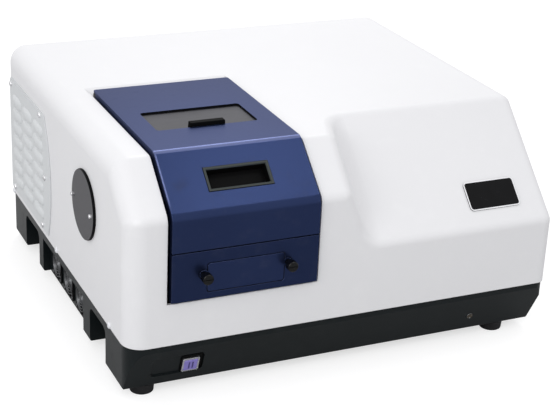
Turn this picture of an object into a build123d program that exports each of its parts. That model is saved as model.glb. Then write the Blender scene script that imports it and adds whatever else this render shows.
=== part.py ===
from build123d import *
import os
from math import atan2, cos, hypot, radians, sin, tan

# Bench spectrofluorometer, in mm. X runs to the right, Y to the back and Z up.
# While it is modelled, X is measured from the cover's left wall, Y from its front wall
# and Z from the bench. At the end everything is centred over the footprint.

# White cover
cover_width = 560.0
cover_depth = 518.0
cover_height = 209.0
cover_wall = 4.0
left_edge_radius = 24.0
edge_radius = 14.0
valley_radius = 30.0
hood_run = 61.0
hood_drop = 52.0
recess_run = 124.0
recess_drop = 121.0
recess_from_left = 300.0
recess_wall_lean = 0.41

# Dark base and its feet
base_height = 60.0
base_wall = 4.0
base_inset = 1.5
base_front_inset = 2.0
base_lip = 8.0
base_front_lean = 19.0
base_side_lean = 9.0
base_edge_radius = 3.0
bay_starts = (84.0, 373.0)
bay_lengths = (62.0, 67.0)
bay_depth = 26.0
bay_ceiling_drop = 12.0
bay_corner_radius = 10.0
foot_radius = 15.0
foot_height = 12.0
foot_front_inset = 36.0
foot_back_inset = 40.0
foot_left_inset = 30.0
foot_right_inset = 54.0
foot_screw_radius = 2.5

# Screws that hold the cover to the base
cover_screw_rise = 3.5
cover_screw_radius = 1.7
cover_screw_head_radius = 4.0
cover_screw_head_height = 2.4
side_screw_places = (63.0, 281.0, 491.0)
back_screw_places = (120.0, 440.0)
screw_tab_width = 10.0
screw_tab_height = 9.0
screw_tab_thickness = 6.0
seat_gap = 0.3
running_gap = 0.05

# Fans in the left of the base
fan_size = 40.0
fan_thickness = 20.0
fan_wall = 1.0
fan_strut = 2.0
fan_strut_count = 3
fan_pitch = 53.0
fan_count = 3
fan_row_start = 173.0
fan_row_length = 181.0
fan_row_depth = 10.0
fan_axis_drop = 35.0
fan_hub_radius = 11.0
fan_rotor_gap = 0.8
fan_blade_count = 7
fan_shaft_radius = 1.5
guard_thickness = 3.0
guard_wire = 1.6

# Lid over the sample chamber
lid_left = 50.0
lid_width = 180.0
lid_back = 283.0
lid_proud = 5.0
lid_sheet = 2.5
lid_flange = 20.0
lid_seam_rise = 115.5
lid_seam_gap = 1.5
lid_side_gap = 3.5
panel_rise = 55.5
hinge_axis_back = 279.0
hinge_barrel_radius = 4.5
hinge_pin_radius = 2.0
hinge_leaf_thickness = 2.0
knuckle_gap = 0.3
hinge_leg = 3.0
hinge_leg_drop = 40.0
hinge_plate_drop = 16.0
scoop_back = 306.0
scoop_depth = 8.0

# Window in the lid's top, its sliding shutter and the bar handle
window_side_margin = 26.5
window_length = 63.0
window_front = 121.5
window_corner = 4.0
shutter_thickness = 2.0
shutter_lap_side = 4.5
shutter_lap_front = 4.5
shutter_lap_back = 7.5
handle_width = 44.0
handle_depth = 10.0
handle_rise = 4.5
handle_edge = 0.8
rail_thickness = 3.5
rail_lip = 4.0
rail_lip_thickness = 2.0

# Flush pull on the lid's slope
pull_width = 80.0
pull_height = 30.0
pull_rim = 4.2
pull_rim_proud = 0.8
pull_depth = 14.0
pull_wall = 1.5
pull_down_slope = 41.0

# Access plate on the fixed front panel, and its thumbscrews
plate_width = 94.5
plate_height = 35.5
plate_rise = 81.5
plate_corner = 3.0
plate_gap = 0.6
ear_radius = 5.5
ear_lift = 4.6
ear_reach = 4.5
thumbscrew_radius = 6.5
thumbscrew_length = 15.0
thumbscrew_head = 9.5
thumbscrew_neck_radius = 4.0
thumbscrew_shank_radius = 2.0
thumbscrew_edge = 0.8
ledge_width = 5.0
ledge_lap = 3.0
ledge_thickness = 2.0
front_port_height = 24.0
front_port_width = 76.0

# Sample chamber
chamber_gap = 2.0
chamber_wall = 6.0
chamber_rim_drop = 5.0
chamber_back = 262.0
chamber_floor_rise = 55.0
chamber_floor = 3.0
seal_rise = 6.0
boss_radius = 5.0
boss_from_side = 9.0
boss_from_edge = 10.0
cell_from_front = 156.0
optical_axis_rise = 118.0
cell_block = 40.0
cell_block_height = 46.0
cell_neck_radius = 14.0
cell_base_radius = 28.0
cell_base_thickness = 4.0
cuvette_well = 12.7
cuvette_depth = 42.0
beam_hole_radius = 5.0
lens_radius = 14.0
lens_thickness = 5.0
lens_rim = 3.0

# Round cover over the left port
port_hole_radius = 37.0
port_radius = 43.0
port_ring_thickness = 2.7
port_ring_lap = 6.0
port_disc_thickness = 0.8
port_screw_spacing = 72.0
port_screw_radius = 1.5
port_screw_head_radius = 2.3
port_screw_head_height = 3.0

# Vent cover on the left
vent_front = 303.0
vent_back = 497.0
vent_bottom_rise = 8.0
vent_top_rise = 170.0
vent_thickness = 1.8
vent_corner = 8.0
vent_window_margin = 26.0
scoop_rows = 7
scoop_columns = 3
scoop_row_pitch = 19.0
scoop_column_pitch = 52.0
scoop_first_rise = 30.0
scoop_first_back = 369.0
hood_length = 30.0
hood_radius = 5.5
hood_skin = 1.2
vent_screw_places = ((490.0, 161.0), (345.0, 165.0), (327.0, 85.5), (479.0, 14.0), (340.0, 14.5))
vent_screw_radius = 1.5
vent_screw_head_radius = 3.6
vent_screw_head_height = 2.0

# Badge, button and lamp on the front
badge_width = 66.5
badge_height = 34.0
badge_thickness = 1.2
badge_corner = 3.0
badge_from_right = 77.0
badge_down_slope = 130.0
label_left = 33.0
label_width = 64.0
label_height = 30.0
label_depth = 2.0
label_corner = 6.0
label_down = 33.0
button_from_left = 81.0
button_down = 35.5
button_size = 16.5
button_proud = 2.0
button_travel = 1.5
button_body = 5.0
button_peg = 3.0
bezel_size = 21.0
bezel_wall = 0.9
bezel_proud = 1.0
spring_radius = 2.6
spring_wire = 0.5
spring_turns = 5
spring_spare = 1.5
lamp_from_right = 102.0
lamp_down = 38.0
lamp_radius = 2.5
lamp_ring_radius = 4.0
lamp_ring_proud = 0.8

# Connectors in the back of the base
connector_panel_width = 170.0
connector_panel_height = 46.0
connector_panel_thickness = 1.5
connector_panel_from_right = 40.0
connector_opening_margin = 6.0
inlet_from_panel_edge = 36.0
rocker_from_panel_edge = 84.0
usb_from_panel_edge = 124.0
serial_from_panel_edge = 148.0
inlet_width = 48.0
inlet_height = 27.0
inlet_flange = 2.0
inlet_lap = 3.5
inlet_body_depth = 22.0
inlet_socket_width = 24.0
inlet_socket_height = 16.5
inlet_socket_depth = 16.0
inlet_pin_length = 11.0
inlet_pin_thickness = 2.0
inlet_pin_spread = 7.0
inlet_pin_drop = 2.0
rocker_width = 12.0
rocker_height = 24.0
rocker_depth = 14.0
rocker_body = 4.0
rocker_swing = 16.0
rocker_frame_rim = 3.0
rocker_end_gap = 1.2
rocker_proud = 3.2
rocker_axle_radius = 1.2
rocker_axis_depth = 4.0
usb_width = 12.0
usb_height = 11.0
usb_depth = 16.0
usb_flange = 4.0
usb_wall = 1.2

# Optical bench and what stands on it
bench_thickness = 6.0
bench_drop = 8.0
bench_side_gap = 33.0
bench_front_gap = 10.0
bench_back_gap = 18.0
bench_post_radius = 7.0
bench_post_side = 14.0
bench_post_front = 50.0
bench_screw_radius = 2.5
bench_screw_bite = 12.0
bench_screw_head_radius = 4.5
bench_screw_head_height = 3.0
casting_wall = 5.0
casting_corner = 4.0
casting_height = 168.0
casting_gap = 4.0
ex_width = 152.0
ex_front = 300.0
ex_depth = 190.0
em_from_lid = 22.0
em_front = 100.0
em_depth = 180.0
slit_width = 6.0
slit_height = 22.0
turntable_radius = 24.0
turntable_thickness = 5.0
turntable_lift = 1.0
turntable_shaft_radius = 4.0
grating_width = 36.0
grating_height = 36.0
grating_thickness = 8.0
motor_size = 42.0
motor_height = 34.0
mirror_radius = 26.0
mirror_thickness = 10.0
mirror_room = 8.0
mirror_turn = 15.0
mirror_to_grating = 56.0
mirror_stem_radius = 4.0
lamp_house_left = 36.0
lamp_house_width = 68.0
lamp_house_front = 330.0
lamp_house_depth = 140.0
lamp_house_height = 190.0
lamp_bulb_radius = 10.0
lamp_tube_radius = 5.0
lamp_tube_length = 96.0
lamp_socket_width = 28.0
lamp_socket_grip = 10.0
reflector_radius = 30.0
reflector_depth = 18.0
reflector_skin = 2.0
pmt_from_right = 42.0
pmt_width = 84.0
pmt_depth = 60.0
pmt_tube_radius = 14.0
pmt_roof = 26.0
board_from_ex = 30.0
board_front = 318.0
board_depth = 160.0
board_thickness = 1.6
board_stand = 8.0
board_post_inset = 8.0
board_post_radius = 3.5
board_columns = 3
board_rows = 4
chip_size = 18.0
chip_height = 3.0
supply_from_right = 56.0
supply_front = 318.0
supply_width = 80.0
supply_depth = 150.0
supply_height = 60.0
supply_slots = 9
supply_slot_margin = 12.0
slot_width = 4.0
lamp_supply_width = 150.0
lamp_supply_depth = 90.0
lamp_supply_height = 30.0
lamp_supply_from_middle = 20.0

# Heights and places worked out from the sizes above
deck = foot_height + base_height
roof = deck + cover_height
bottom = foot_height
right = cover_width
back = cover_depth
lid_middle = lid_left + lid_width / 2
window_width = lid_width - 2 * window_side_margin
axis_height = deck + optical_axis_rise
bench_top = deck - bench_drop
chamber_front = chamber_rim_drop
bench_bottom = bench_top - bench_thickness
tray_floor = bottom + base_wall
base_slope_height = base_height - base_lip
base_pitch = atan2(base_front_lean, base_slope_height)
hinge_height = roof + lid_proud - lid_sheet - seat_gap - hinge_barrel_radius
bezel_sleeve = button_size + 2 * running_gap + 2 * bezel_wall
spring_length = 2 * spring_wire * spring_turns + button_travel + spring_spare
button_floor = label_depth + button_body + spring_length
bezel_depth = button_floor - label_depth + bezel_wall
cut_past = 1.0
ex_left = lamp_house_left + lamp_house_width + casting_gap
em_left = lid_left + lid_width + em_from_lid
pmt_left = right - pmt_from_right - pmt_width
em_width = pmt_left - casting_gap - em_left
board_left = ex_left + ex_width + board_from_ex
supply_left = right - supply_from_right - supply_width
board_width = supply_left - casting_gap - board_left

pieces = {}


def span(x0, x1, y0, y1, z0, z1):
    """A box between three pairs of limits."""
    middle = Pos((x0 + x1) / 2, (y0 + y1) / 2, (z0 + z1) / 2)
    return middle * Box(x1 - x0, y1 - y0, z1 - z0)


def rod(start, direction, radius, length):
    """A round bar from a point along a direction."""
    place = Plane(origin=start, z_dir=direction)
    return place * Cylinder(radius, length, align=(Align.CENTER, Align.CENTER, Align.MIN))


def tube(start, direction, outer, inner, length):
    """A round tube from a point along a direction."""
    way = Vector(*direction).normalized()
    bore_start = Vector(*start) - way
    return rod(start, direction, outer, length) - rod(bore_start, direction, inner, length + 2)


def slab_along_x(x0, x1, outline):
    """A solid between two X limits, with an outline of (y, z) points."""
    face = make_face(Polyline(*[(x0, y, z) for y, z in outline], close=True))
    return extrude(face, x1 - x0, dir=(1, 0, 0))


def slab_along_y(y0, y1, outline):
    """A solid between two Y limits, with an outline of (x, z) points."""
    face = make_face(Polyline(*[(x, y0, z) for x, z in outline], close=True))
    return extrude(face, y1 - y0, dir=(0, 1, 0))


def bend_points(run, drop, inset):
    """The upper and lower bends of a slope, as (y, z), moved in from the surface."""
    pitch = atan2(drop, run)
    upper = (run + inset * tan(pitch / 2), roof - inset)
    lower = (inset, roof - drop - inset * tan((radians(90) - pitch) / 2))
    return upper, lower


def one_solid(shape):
    """The solid itself, where a cut or a join hands back a compound of one."""
    return shape.solid() if len(shape.solids()) == 1 else shape


def sharp_edges(shape, low):
    """Edges that aren't smooth already and don't lie on the bottom rim."""
    found = []
    faces = shape.faces()
    for edge in shape.edges():
        if edge.bounding_box().max.Z < low + 0.1:
            continue
        owners = [face for face in faces if any(other.is_same(edge) for other in face.edges())]
        if len(owners) != 2:
            continue
        middle = edge @ 0.5
        turn = owners[0].normal_at(middle).get_angle(owners[1].normal_at(middle))
        if turn > 8:
            found.append(edge)
    return found


def cover_form(inset):
    """The cover's outer form, or the space inside its wall."""
    low = deck - (0 if inset == 0 else 5)
    upper, lower = bend_points(hood_run, hood_drop, inset)
    outline = [(inset, low), (back - inset, low), (back - inset, roof - inset), upper, lower]
    form = slab_along_x(inset, right - inset, outline)
    valley_height = bend_points(recess_run, recess_drop, inset)[1][1]
    valley = recess_from_left - inset / cos(atan2(recess_wall_lean, 1)) + recess_wall_lean * inset
    tall = cover_height
    beyond = right + tall
    section = make_face(
        Polyline(
            (valley, inset, valley_height),
            (valley - recess_wall_lean * tall, inset, valley_height + tall),
            (beyond, inset, valley_height + tall),
            (beyond, inset, valley_height),
            close=True,
        )
    )
    along = (0, recess_run, recess_drop)
    against = (0, -recess_run, -recess_drop)
    form -= extrude(section, 1.5 * hypot(recess_run, recess_drop), dir=along)
    form -= extrude(section, recess_run / 2, dir=against)
    left_edges = [
        edge
        for edge in form.edges()
        if edge.bounding_box().max.X < inset + 0.1 and edge.bounding_box().max.Z > low + 0.1
    ]
    form = fillet(left_edges, left_edge_radius - inset)
    valley_edges = [
        edge
        for edge in form.edges()
        if max(abs(edge.bounding_box().min.X - valley), abs(edge.bounding_box().max.X - valley)) < 0.1
    ]
    form = fillet(valley_edges, valley_radius + inset)
    return fillet(sharp_edges(form, low), edge_radius - inset)


def base_form(inset, low, high):
    """The base's outer form, or the space inside its wall, between two heights."""
    lip_bottom = deck - base_lip
    reach = hypot(base_front_lean, base_slope_height)
    side_reach = hypot(base_side_lean, base_slope_height)

    def lean_front(height):
        down = lip_bottom - height
        return base_front_inset + (base_front_lean * down + inset * reach) / base_slope_height

    def lean_right(height):
        down = lip_bottom - height
        return right - base_inset - (base_side_lean * down + inset * side_reach) / base_slope_height

    front_turn = lip_bottom + inset * (reach - base_slope_height) / base_front_lean
    side_turn = lip_bottom + inset * (side_reach - base_slope_height) / base_side_lean
    front_line = base_front_inset + inset
    side_line = right - base_inset - inset
    back_line = back - base_inset - inset
    left_line = base_inset + inset
    profile = [(lean_front(low), low), (back_line, low), (back_line, high), (front_line, high)]
    profile.append((front_line, front_turn))
    front_view = [(left_line, low), (lean_right(low), low), (side_line, side_turn)]
    front_view += [(side_line, high), (left_line, high)]
    form = slab_along_x(0, right, profile)
    form &= slab_along_y(0, back, front_view)
    prism = span(left_line, side_line, front_line, back_line, low, high)
    left_corners = prism.edges().filter_by(Axis.Z).group_by(Axis.X)[0]
    prism = fillet(left_corners, left_edge_radius - base_inset - inset)
    right_corners = prism.edges().filter_by(Axis.Z).group_by(Axis.X)[-1]
    return form & fillet(right_corners, edge_radius - base_inset - inset)


def slope_plane(run, drop, x, down, lift):
    """A plane on a slope of the cover, a distance down from its upper bend and off its face."""
    pitch = atan2(drop, run)
    normal = Vector(0, -sin(pitch), cos(pitch))
    point = Vector(x, run, roof) + Vector(0, -cos(pitch), -sin(pitch)) * down + normal * lift
    return Plane(origin=point, x_dir=(1, 0, 0), z_dir=normal)


def base_front_plane(x, down, lift):
    """A plane on the base's leaning front, a distance below the cover's bottom edge."""
    normal = Vector(0, -cos(base_pitch), -sin(base_pitch))
    y = base_front_inset + (down - base_lip) * tan(base_pitch)
    return Plane(origin=Vector(x, y, deck - down) + normal * lift, x_dir=(1, 0, 0), z_dir=normal)


def event_plane(lift):
    return base_front_plane(button_from_left, button_down, lift)


def lamp_plane(lift):
    return base_front_plane(right - lamp_from_right, lamp_down, lift)


def rounded_plate(plane, width, height, thickness, corner):
    """A flat plate with rounded corners that stands on a plane."""
    return extrude(plane * RectangleRounded(width, height, corner), thickness)


fan_middles = [
    fan_row_start + fan_row_length / 2 + (index - (fan_count - 1) / 2) * fan_pitch
    for index in range(fan_count)
]
fan_panel = base_inset + fan_row_depth
fan_height = deck - fan_axis_drop
fan_inner = fan_panel + base_wall

foot_places = [
    (x, y)
    for x in (foot_left_inset, right - foot_right_inset)
    for y in (foot_front_inset, back - foot_back_inset)
]

bench_left = bench_side_gap
bench_right = right - bench_side_gap
bench_front = bench_front_gap
bench_back = back - bench_back_gap
bench_posts = [
    (x, y)
    for x in (bench_left + bench_post_side, board_left - board_from_ex / 2, bench_right - bench_post_side)
    for y in (bench_front + bench_post_front, lamp_house_front + lamp_house_depth - bench_post_side)
]

left_screws = [((0, y, deck + cover_screw_rise), (1, 0, 0)) for y in side_screw_places]
right_screws = [((right, y, deck + cover_screw_rise), (-1, 0, 0)) for y in side_screw_places]
back_screws = [((x, back, deck + cover_screw_rise), (0, -1, 0)) for x in back_screw_places]
cover_screw_spots = left_screws + right_screws + back_screws


def screw_tab(spot, way):
    """A tab that stands up from the base inside the cover, for one cover screw."""
    start = Vector(*spot) + Vector(*way) * (cover_wall + seat_gap)
    rise = screw_tab_height - cover_screw_rise
    plane = Plane(origin=start, x_dir=Vector(0, 0, 1).cross(Vector(*way)), z_dir=way)
    outline = Rectangle(screw_tab_width, 2 * rise + screw_tab_height)
    return extrude(plane * outline, screw_tab_thickness)


def bay(start, length, at_right, grown):
    """The space of one hand-hold bay, or that space grown by the base's wall."""
    depth = base_inset + bay_depth + grown
    x0, x1 = (right - depth, right + 1) if at_right else (-1, depth)
    ceiling = deck - bay_ceiling_drop + grown
    space = span(x0, x1, start - grown, start + length + grown, bottom - 1, ceiling)
    top_edges = space.edges().filter_by(Axis.X).group_by(Axis.Z)[-1]
    return fillet(top_edges, bay_corner_radius)


def fan_row(grown):
    """The shallow pocket of the fan row, or that space grown by the base's wall."""
    ends = (fan_row_start - grown, fan_row_start + fan_row_length + grown)
    return span(-1, fan_panel + grown, *ends, bottom - 1, deck - bay_ceiling_drop + grown)


def base_tray():
    tray = base_form(0, bottom, deck)
    rim = [edge for edge in tray.edges() if edge.bounding_box().max.Z < bottom + 0.1]
    tray = fillet(rim, base_edge_radius)
    hollow = base_form(base_wall, tray_floor, deck + 5)
    for at_right in (False, True):
        for start, length in zip(bay_starts, bay_lengths):
            hollow -= bay(start, length, at_right, base_wall)
    hollow -= fan_row(base_wall)
    tray -= hollow
    for at_right in (False, True):
        for start, length in zip(bay_starts, bay_lengths):
            tray -= bay(start, length, at_right, 0)
    tray -= fan_row(0)
    for y in fan_middles:
        tray -= rod((0, y, fan_height), (1, 0, 0), fan_size / 2 - 1, fan_inner + 5)
    for spot, way in cover_screw_spots:
        tray += screw_tab(spot, way)
        tray -= rod(spot, way, cover_screw_radius + running_gap, cover_wall + 20)
    for x, y in bench_posts:
        post_bottom = bottom + base_wall / 2
        tray += rod((x, y, post_bottom), (0, 0, 1), bench_post_radius, bench_bottom - post_bottom)
        tap_bottom = bench_bottom - bench_screw_bite - seat_gap
        tray -= rod((x, y, tap_bottom), (0, 0, 1), bench_screw_radius, deck - tap_bottom)
    for x, y in foot_places:
        tray -= rod((x, y, bottom - 1), (0, 0, 1), foot_screw_radius + running_gap, base_wall + 2)
    label = base_front_plane(label_left + label_width / 2, label_down, -label_depth)
    tray -= rounded_plate(label, label_width, label_height, label_depth * 2, label_corner)
    hole = bezel_sleeve + 2 * running_gap
    tray -= extrude(event_plane(-2 * bezel_depth) * Rectangle(hole, hole), 3 * bezel_depth)
    tray -= extrude(lamp_plane(-2 * base_wall) * Circle(lamp_radius + running_gap), 3 * base_wall)
    x1 = right - connector_panel_from_right - connector_opening_margin
    x0 = right - connector_panel_from_right - connector_panel_width + connector_opening_margin
    middle = deck - base_height / 2
    half = connector_panel_height / 2 - connector_opening_margin
    tray -= span(x0, x1, back - 12, back + 1, middle - half, middle + half)
    return one_solid(tray)


def feet():
    ring = [
        tube((x, y, 0), (0, 0, 1), foot_radius, foot_screw_radius + running_gap, foot_height)
        - rod((x, y, -1), (0, 0, 1), foot_radius / 2, foot_height / 2 + 1)
        for x, y in foot_places
    ]
    return [chamfer(foot.edges().group_by(Axis.Z)[0].sort_by(SortBy.LENGTH)[-1], 1.0) for foot in ring]


def foot_screws():
    seat = foot_height / 2
    screws = []
    for x, y in foot_places:
        head = rod((x, y, seat - 3), (0, 0, 1), foot_radius / 2 - 1, 3)
        shank = rod((x, y, seat), (0, 0, 1), foot_screw_radius, foot_height - seat + base_wall)
        nut = rod((x, y, tray_floor), (0, 0, 1), foot_screw_radius + 2.5, 4)
        screws.append(head + shank + nut)
    return screws


def lid_opening(grown):
    """The space in the cover that the lid and the fixed front panel fill."""
    gap = lid_side_gap + grown
    low = deck + panel_rise - lid_side_gap - grown
    rear = lid_back + lid_side_gap + 2 + grown
    sides = (lid_left - gap, lid_left + lid_width + gap)
    return span(*sides, -lid_proud * 3, rear, low, roof + lid_proud * 3)


def rear_scoop():
    """The slope that lets the lid's back edge turn down behind its hinge."""
    edge = lid_back + lid_side_gap + 2
    outline = [(scoop_back, roof), (scoop_back, roof + 5), (edge - 3, roof + 5)]
    outline += [(edge - 3, roof - scoop_depth), (edge, roof - scoop_depth)]
    reach = lid_side_gap + 1.5
    return slab_along_x(lid_left - reach, lid_left + lid_width + reach, outline)


def vent_outline(grown):
    """The vent cover's outline, as (y, z): a plate with a bowed front edge."""
    low = deck + vent_bottom_rise - grown
    high = deck + vent_top_rise + grown
    middle = (low + high) / 2
    front_top = vent_front + 26
    front_low = vent_front + 14
    return low, high, middle, front_top, front_low


def vent_plate(x0, x1, grown):
    low, high, middle, front_top, front_low = vent_outline(grown)
    rear = vent_back + grown
    bow = ThreePointArc(
        (x0, front_low - grown, low), (x0, vent_front - grown, middle), (x0, front_top - grown, high)
    )
    rest = Polyline(
        (x0, front_top - grown, high), (x0, rear, high), (x0, rear, low), (x0, front_low - grown, low)
    )
    plate = extrude(make_face([bow, rest]), x1 - x0, dir=(1, 0, 0))
    corners = plate.edges().filter_by(Axis.X).group_by(Axis.Y)[-1]
    return fillet(corners, vent_corner)


def hood_spots():
    return [
        (scoop_first_back + column * scoop_column_pitch, deck + scoop_first_rise + row * scoop_row_pitch)
        for column in range(scoop_columns)
        for row in range(scoop_rows)
    ]


def housing_cover():
    shell = cover_form(0) - cover_form(cover_wall)
    rear = lid_back + lid_side_gap + 2
    pad_sides = (lid_left - lid_side_gap - 6, lid_left + lid_width + lid_side_gap + 6)
    pad = span(*pad_sides, rear - 4, scoop_back + 6, roof - scoop_depth - cover_wall, roof - 1)
    shell += pad
    shell -= lid_opening(0)
    shell -= rear_scoop()
    port_axis = (-1, cell_from_front, axis_height)
    shell -= rod(port_axis, (1, 0, 0), port_hole_radius, cover_wall + 2)
    for sign in (-1, 1):
        spot = (-1, cell_from_front + sign * port_screw_spacing / 2, axis_height)
        shell -= rod(spot, (1, 0, 0), port_screw_radius + running_gap, cover_wall + 2)
    low, high, middle, front_top, front_low = vent_outline(0)
    margin = vent_window_margin
    window_ends = (front_top + margin / 2, vent_back - margin)
    shell -= span(-cut_past, cover_wall + cut_past, *window_ends, low + margin / 2, high - margin)
    for y, rise in vent_screw_places:
        shell -= rod((-1, y, deck + rise), (1, 0, 0), vent_screw_radius + running_gap, cover_wall + 2)
    for spot, way in cover_screw_spots:
        shell -= rod(Vector(*spot) - Vector(*way), way, cover_screw_radius + running_gap, cover_wall + 2)
    return one_solid(shell)


def round_head_screw(spot, way, shank_radius, shank_length, head_radius, head_height):
    """A screw whose head stands on the surface at a spot and whose shank goes in along a way."""
    out = Vector(*way) * -1
    head = rod(spot, out, head_radius, head_height)
    crown = head.edges().filter_by(GeomType.CIRCLE).sort_by(lambda e: (e @ 0).dot(out))[-1]
    head = fillet(crown, head_height * 0.6)
    return head + rod(spot, way, shank_radius, shank_length)


def cover_screws():
    length = cover_wall + seat_gap + screw_tab_thickness
    sizes = (cover_screw_radius, length, cover_screw_head_radius, cover_screw_head_height)
    return [round_head_screw(spot, way, *sizes) for spot, way in cover_screw_spots]


def vent_cover():
    plate = vent_plate(-vent_thickness, 0, 0)
    for y, z in hood_spots():
        start = (-vent_thickness, y - hood_length / 2, z)
        hood = rod(start, (0, 1, 0), hood_radius, hood_length)
        hollow_start = (-vent_thickness, y - hood_length / 2 + hood_skin, z)
        hollow = rod(hollow_start, (0, 1, 0), hood_radius - hood_skin, hood_length - 2 * hood_skin)
        ends = (y - hood_length, y + hood_length)
        below = span(-hood_radius - vent_thickness - 1, 0, *ends, z - hood_radius - 1, z)
        behind = span(0, hood_radius, *ends, z - hood_radius - 1, z + hood_radius + 1)
        plate += hood - below - behind
        plate -= hollow - span(-hood_radius * 3, 0, *ends, z - hood_radius - 1, z - 2.5)
    for y, rise in vent_screw_places:
        plate -= rod((-10, y, deck + rise), (1, 0, 0), vent_screw_radius + running_gap, 20)
    return one_solid(plate)


def vent_cover_screws():
    sizes = (vent_screw_radius, vent_thickness + cover_wall, vent_screw_head_radius, vent_screw_head_height)
    spots = [(-vent_thickness, y, deck + rise) for y, rise in vent_screw_places]
    return [round_head_screw(spot, (1, 0, 0), *sizes) for spot in spots]


def port_ring():
    start = (0, cell_from_front, axis_height)
    ring = tube(start, (-1, 0, 0), port_radius, port_hole_radius - port_ring_lap, port_ring_thickness)
    for sign in (-1, 1):
        spot = (1, cell_from_front + sign * port_screw_spacing / 2, axis_height)
        ring -= rod(spot, (-1, 0, 0), port_screw_radius + running_gap, 10)
    return ring


def port_disc():
    start = (-port_ring_thickness, cell_from_front, axis_height)
    disc = rod(start, (-1, 0, 0), port_radius - 0.5, port_disc_thickness)
    for sign in (-1, 1):
        spot = (1, cell_from_front + sign * port_screw_spacing / 2, axis_height)
        disc -= rod(spot, (-1, 0, 0), port_screw_radius + running_gap, 10)
    return disc


def port_screws():
    proud = port_ring_thickness + port_disc_thickness
    sizes = (port_screw_radius, proud + cover_wall, port_screw_head_radius, port_screw_head_height)
    spots = [(-proud, cell_from_front + sign * port_screw_spacing / 2, axis_height) for sign in (-1, 1)]
    return [round_head_screw(spot, (1, 0, 0), *sizes) for spot in spots]


def badge():
    plane = slope_plane(recess_run, recess_drop, right - badge_from_right, badge_down_slope, 0)
    plate = rounded_plate(plane, badge_width, badge_height, badge_thickness, badge_corner)
    return plate


def hood_band(outer, inner, x0, x1, low, rear):
    """A bent sheet that follows the cover's left profile between two insets."""
    upper_out, lower_out = bend_points(hood_run, hood_drop, outer)
    upper_in, lower_in = bend_points(hood_run, hood_drop, inner)
    outline = [(outer, low), lower_out, upper_out, (rear, roof - outer)]
    outline += [(rear, roof - inner), upper_in, lower_in, (inner, low)]
    return slab_along_x(x0, x1, outline)


def lid_shell():
    low = deck + lid_seam_rise + lid_seam_gap / 2
    lid_right = lid_left + lid_width
    sheet = hood_band(-lid_proud, -lid_proud + lid_sheet, lid_left, lid_right, low, lid_back)
    flange_end = hinge_axis_back - hinge_barrel_radius - 1
    deep = -lid_proud + lid_flange
    for x0 in (lid_left, lid_right - lid_sheet):
        sheet += hood_band(-lid_proud, deep, x0, x0 + lid_sheet, low, flange_end)
    window = Plane(origin=(lid_middle, window_front + window_length / 2, roof - 5), z_dir=(0, 0, 1))
    sheet -= extrude(window * RectangleRounded(window_width, window_length, window_corner), 20)
    pull = slope_plane(hood_run, hood_drop, lid_middle, pull_down_slope, -5)
    cut_width = pull_width - 2 * pull_rim + 2 * pull_wall + 0.4
    cut_height = pull_height - 2 * pull_rim + 2 * pull_wall + 0.4
    sheet -= extrude(pull * Rectangle(cut_width, cut_height), 20)
    return one_solid(sheet)


def lid_pull():
    face = slope_plane(hood_run, hood_drop, lid_middle, pull_down_slope, lid_proud)
    rim = rounded_plate(face, pull_width, pull_height, pull_rim_proud, 2.0)
    opening_width = pull_width - 2 * pull_rim
    opening_height = pull_height - 2 * pull_rim
    deep = slope_plane(hood_run, hood_drop, lid_middle, pull_down_slope, lid_proud - pull_depth)
    cup_outline = Rectangle(opening_width + 2 * pull_wall, opening_height + 2 * pull_wall)
    floor_lift = lid_proud - pull_depth + pull_wall
    inside = slope_plane(hood_run, hood_drop, lid_middle, pull_down_slope, floor_lift)
    well = extrude(inside * Rectangle(opening_width, opening_height), pull_depth)
    return rim + extrude(deep * cup_outline, pull_depth) - well


knuckle_length = lid_width / 6
pin_start = lid_left + seat_gap
pin_end = lid_left + lid_width - seat_gap
lid_knuckle_starts = [pin_start, lid_middle - knuckle_length / 2, pin_end - knuckle_length]
body_knuckle_starts = [
    lid_knuckle_starts[0] + knuckle_length + knuckle_gap,
    lid_knuckle_starts[1] + knuckle_length + knuckle_gap,
]
body_knuckle_length = lid_knuckle_starts[1] - knuckle_gap - body_knuckle_starts[0]


def lid_hinge_leaf():
    top = roof + lid_proud - lid_sheet
    heights = (top - hinge_leaf_thickness, top)
    inside_left = lid_left + lid_sheet + seat_gap
    inside_right = lid_left + lid_width - lid_sheet - seat_gap
    strip_front = chamber_back + hinge_leaf_thickness
    strip_back = hinge_axis_back - hinge_barrel_radius - running_gap - seat_gap
    leaf = span(inside_left, inside_right, strip_front, strip_back, *heights)
    for x0 in lid_knuckle_starts:
        leaf += rod((x0, hinge_axis_back, hinge_height), (1, 0, 0), hinge_barrel_radius, knuckle_length)
        ends = (max(x0, inside_left), min(x0 + knuckle_length, inside_right))
        leaf += span(*ends, strip_back - cut_past, hinge_axis_back, *heights)
    bore = rod((0, hinge_axis_back, hinge_height), (1, 0, 0), hinge_pin_radius + running_gap, cover_width)
    return one_solid(leaf - bore)


def body_hinge_leaf():
    low = hinge_height - hinge_leg_drop
    leg_back = hinge_axis_back + hinge_leg / 2
    solids = []
    for x0 in body_knuckle_starts:
        ends = (x0, x0 + body_knuckle_length)
        axis_start = (x0, hinge_axis_back, hinge_height)
        radii = (hinge_barrel_radius, hinge_pin_radius + running_gap)
        knuckle = tube(axis_start, (1, 0, 0), *radii, body_knuckle_length)
        post = span(*ends, leg_back - hinge_leg, leg_back, low, hinge_height)
        post -= rod(axis_start, (1, 0, 0), hinge_barrel_radius - hinge_leg / 4, body_knuckle_length)
        foot = span(*ends, chamber_back, leg_back, low, low + hinge_leg)
        plate = span(*ends, chamber_back, chamber_back + hinge_leg, low - hinge_plate_drop, low + hinge_leg)
        solids.append(one_solid(knuckle + post + foot + plate))
    return solids


def hinge_pin():
    axis_start = (pin_start, hinge_axis_back, hinge_height)
    return rod(axis_start, (1, 0, 0), hinge_pin_radius, pin_end - pin_start)


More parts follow.
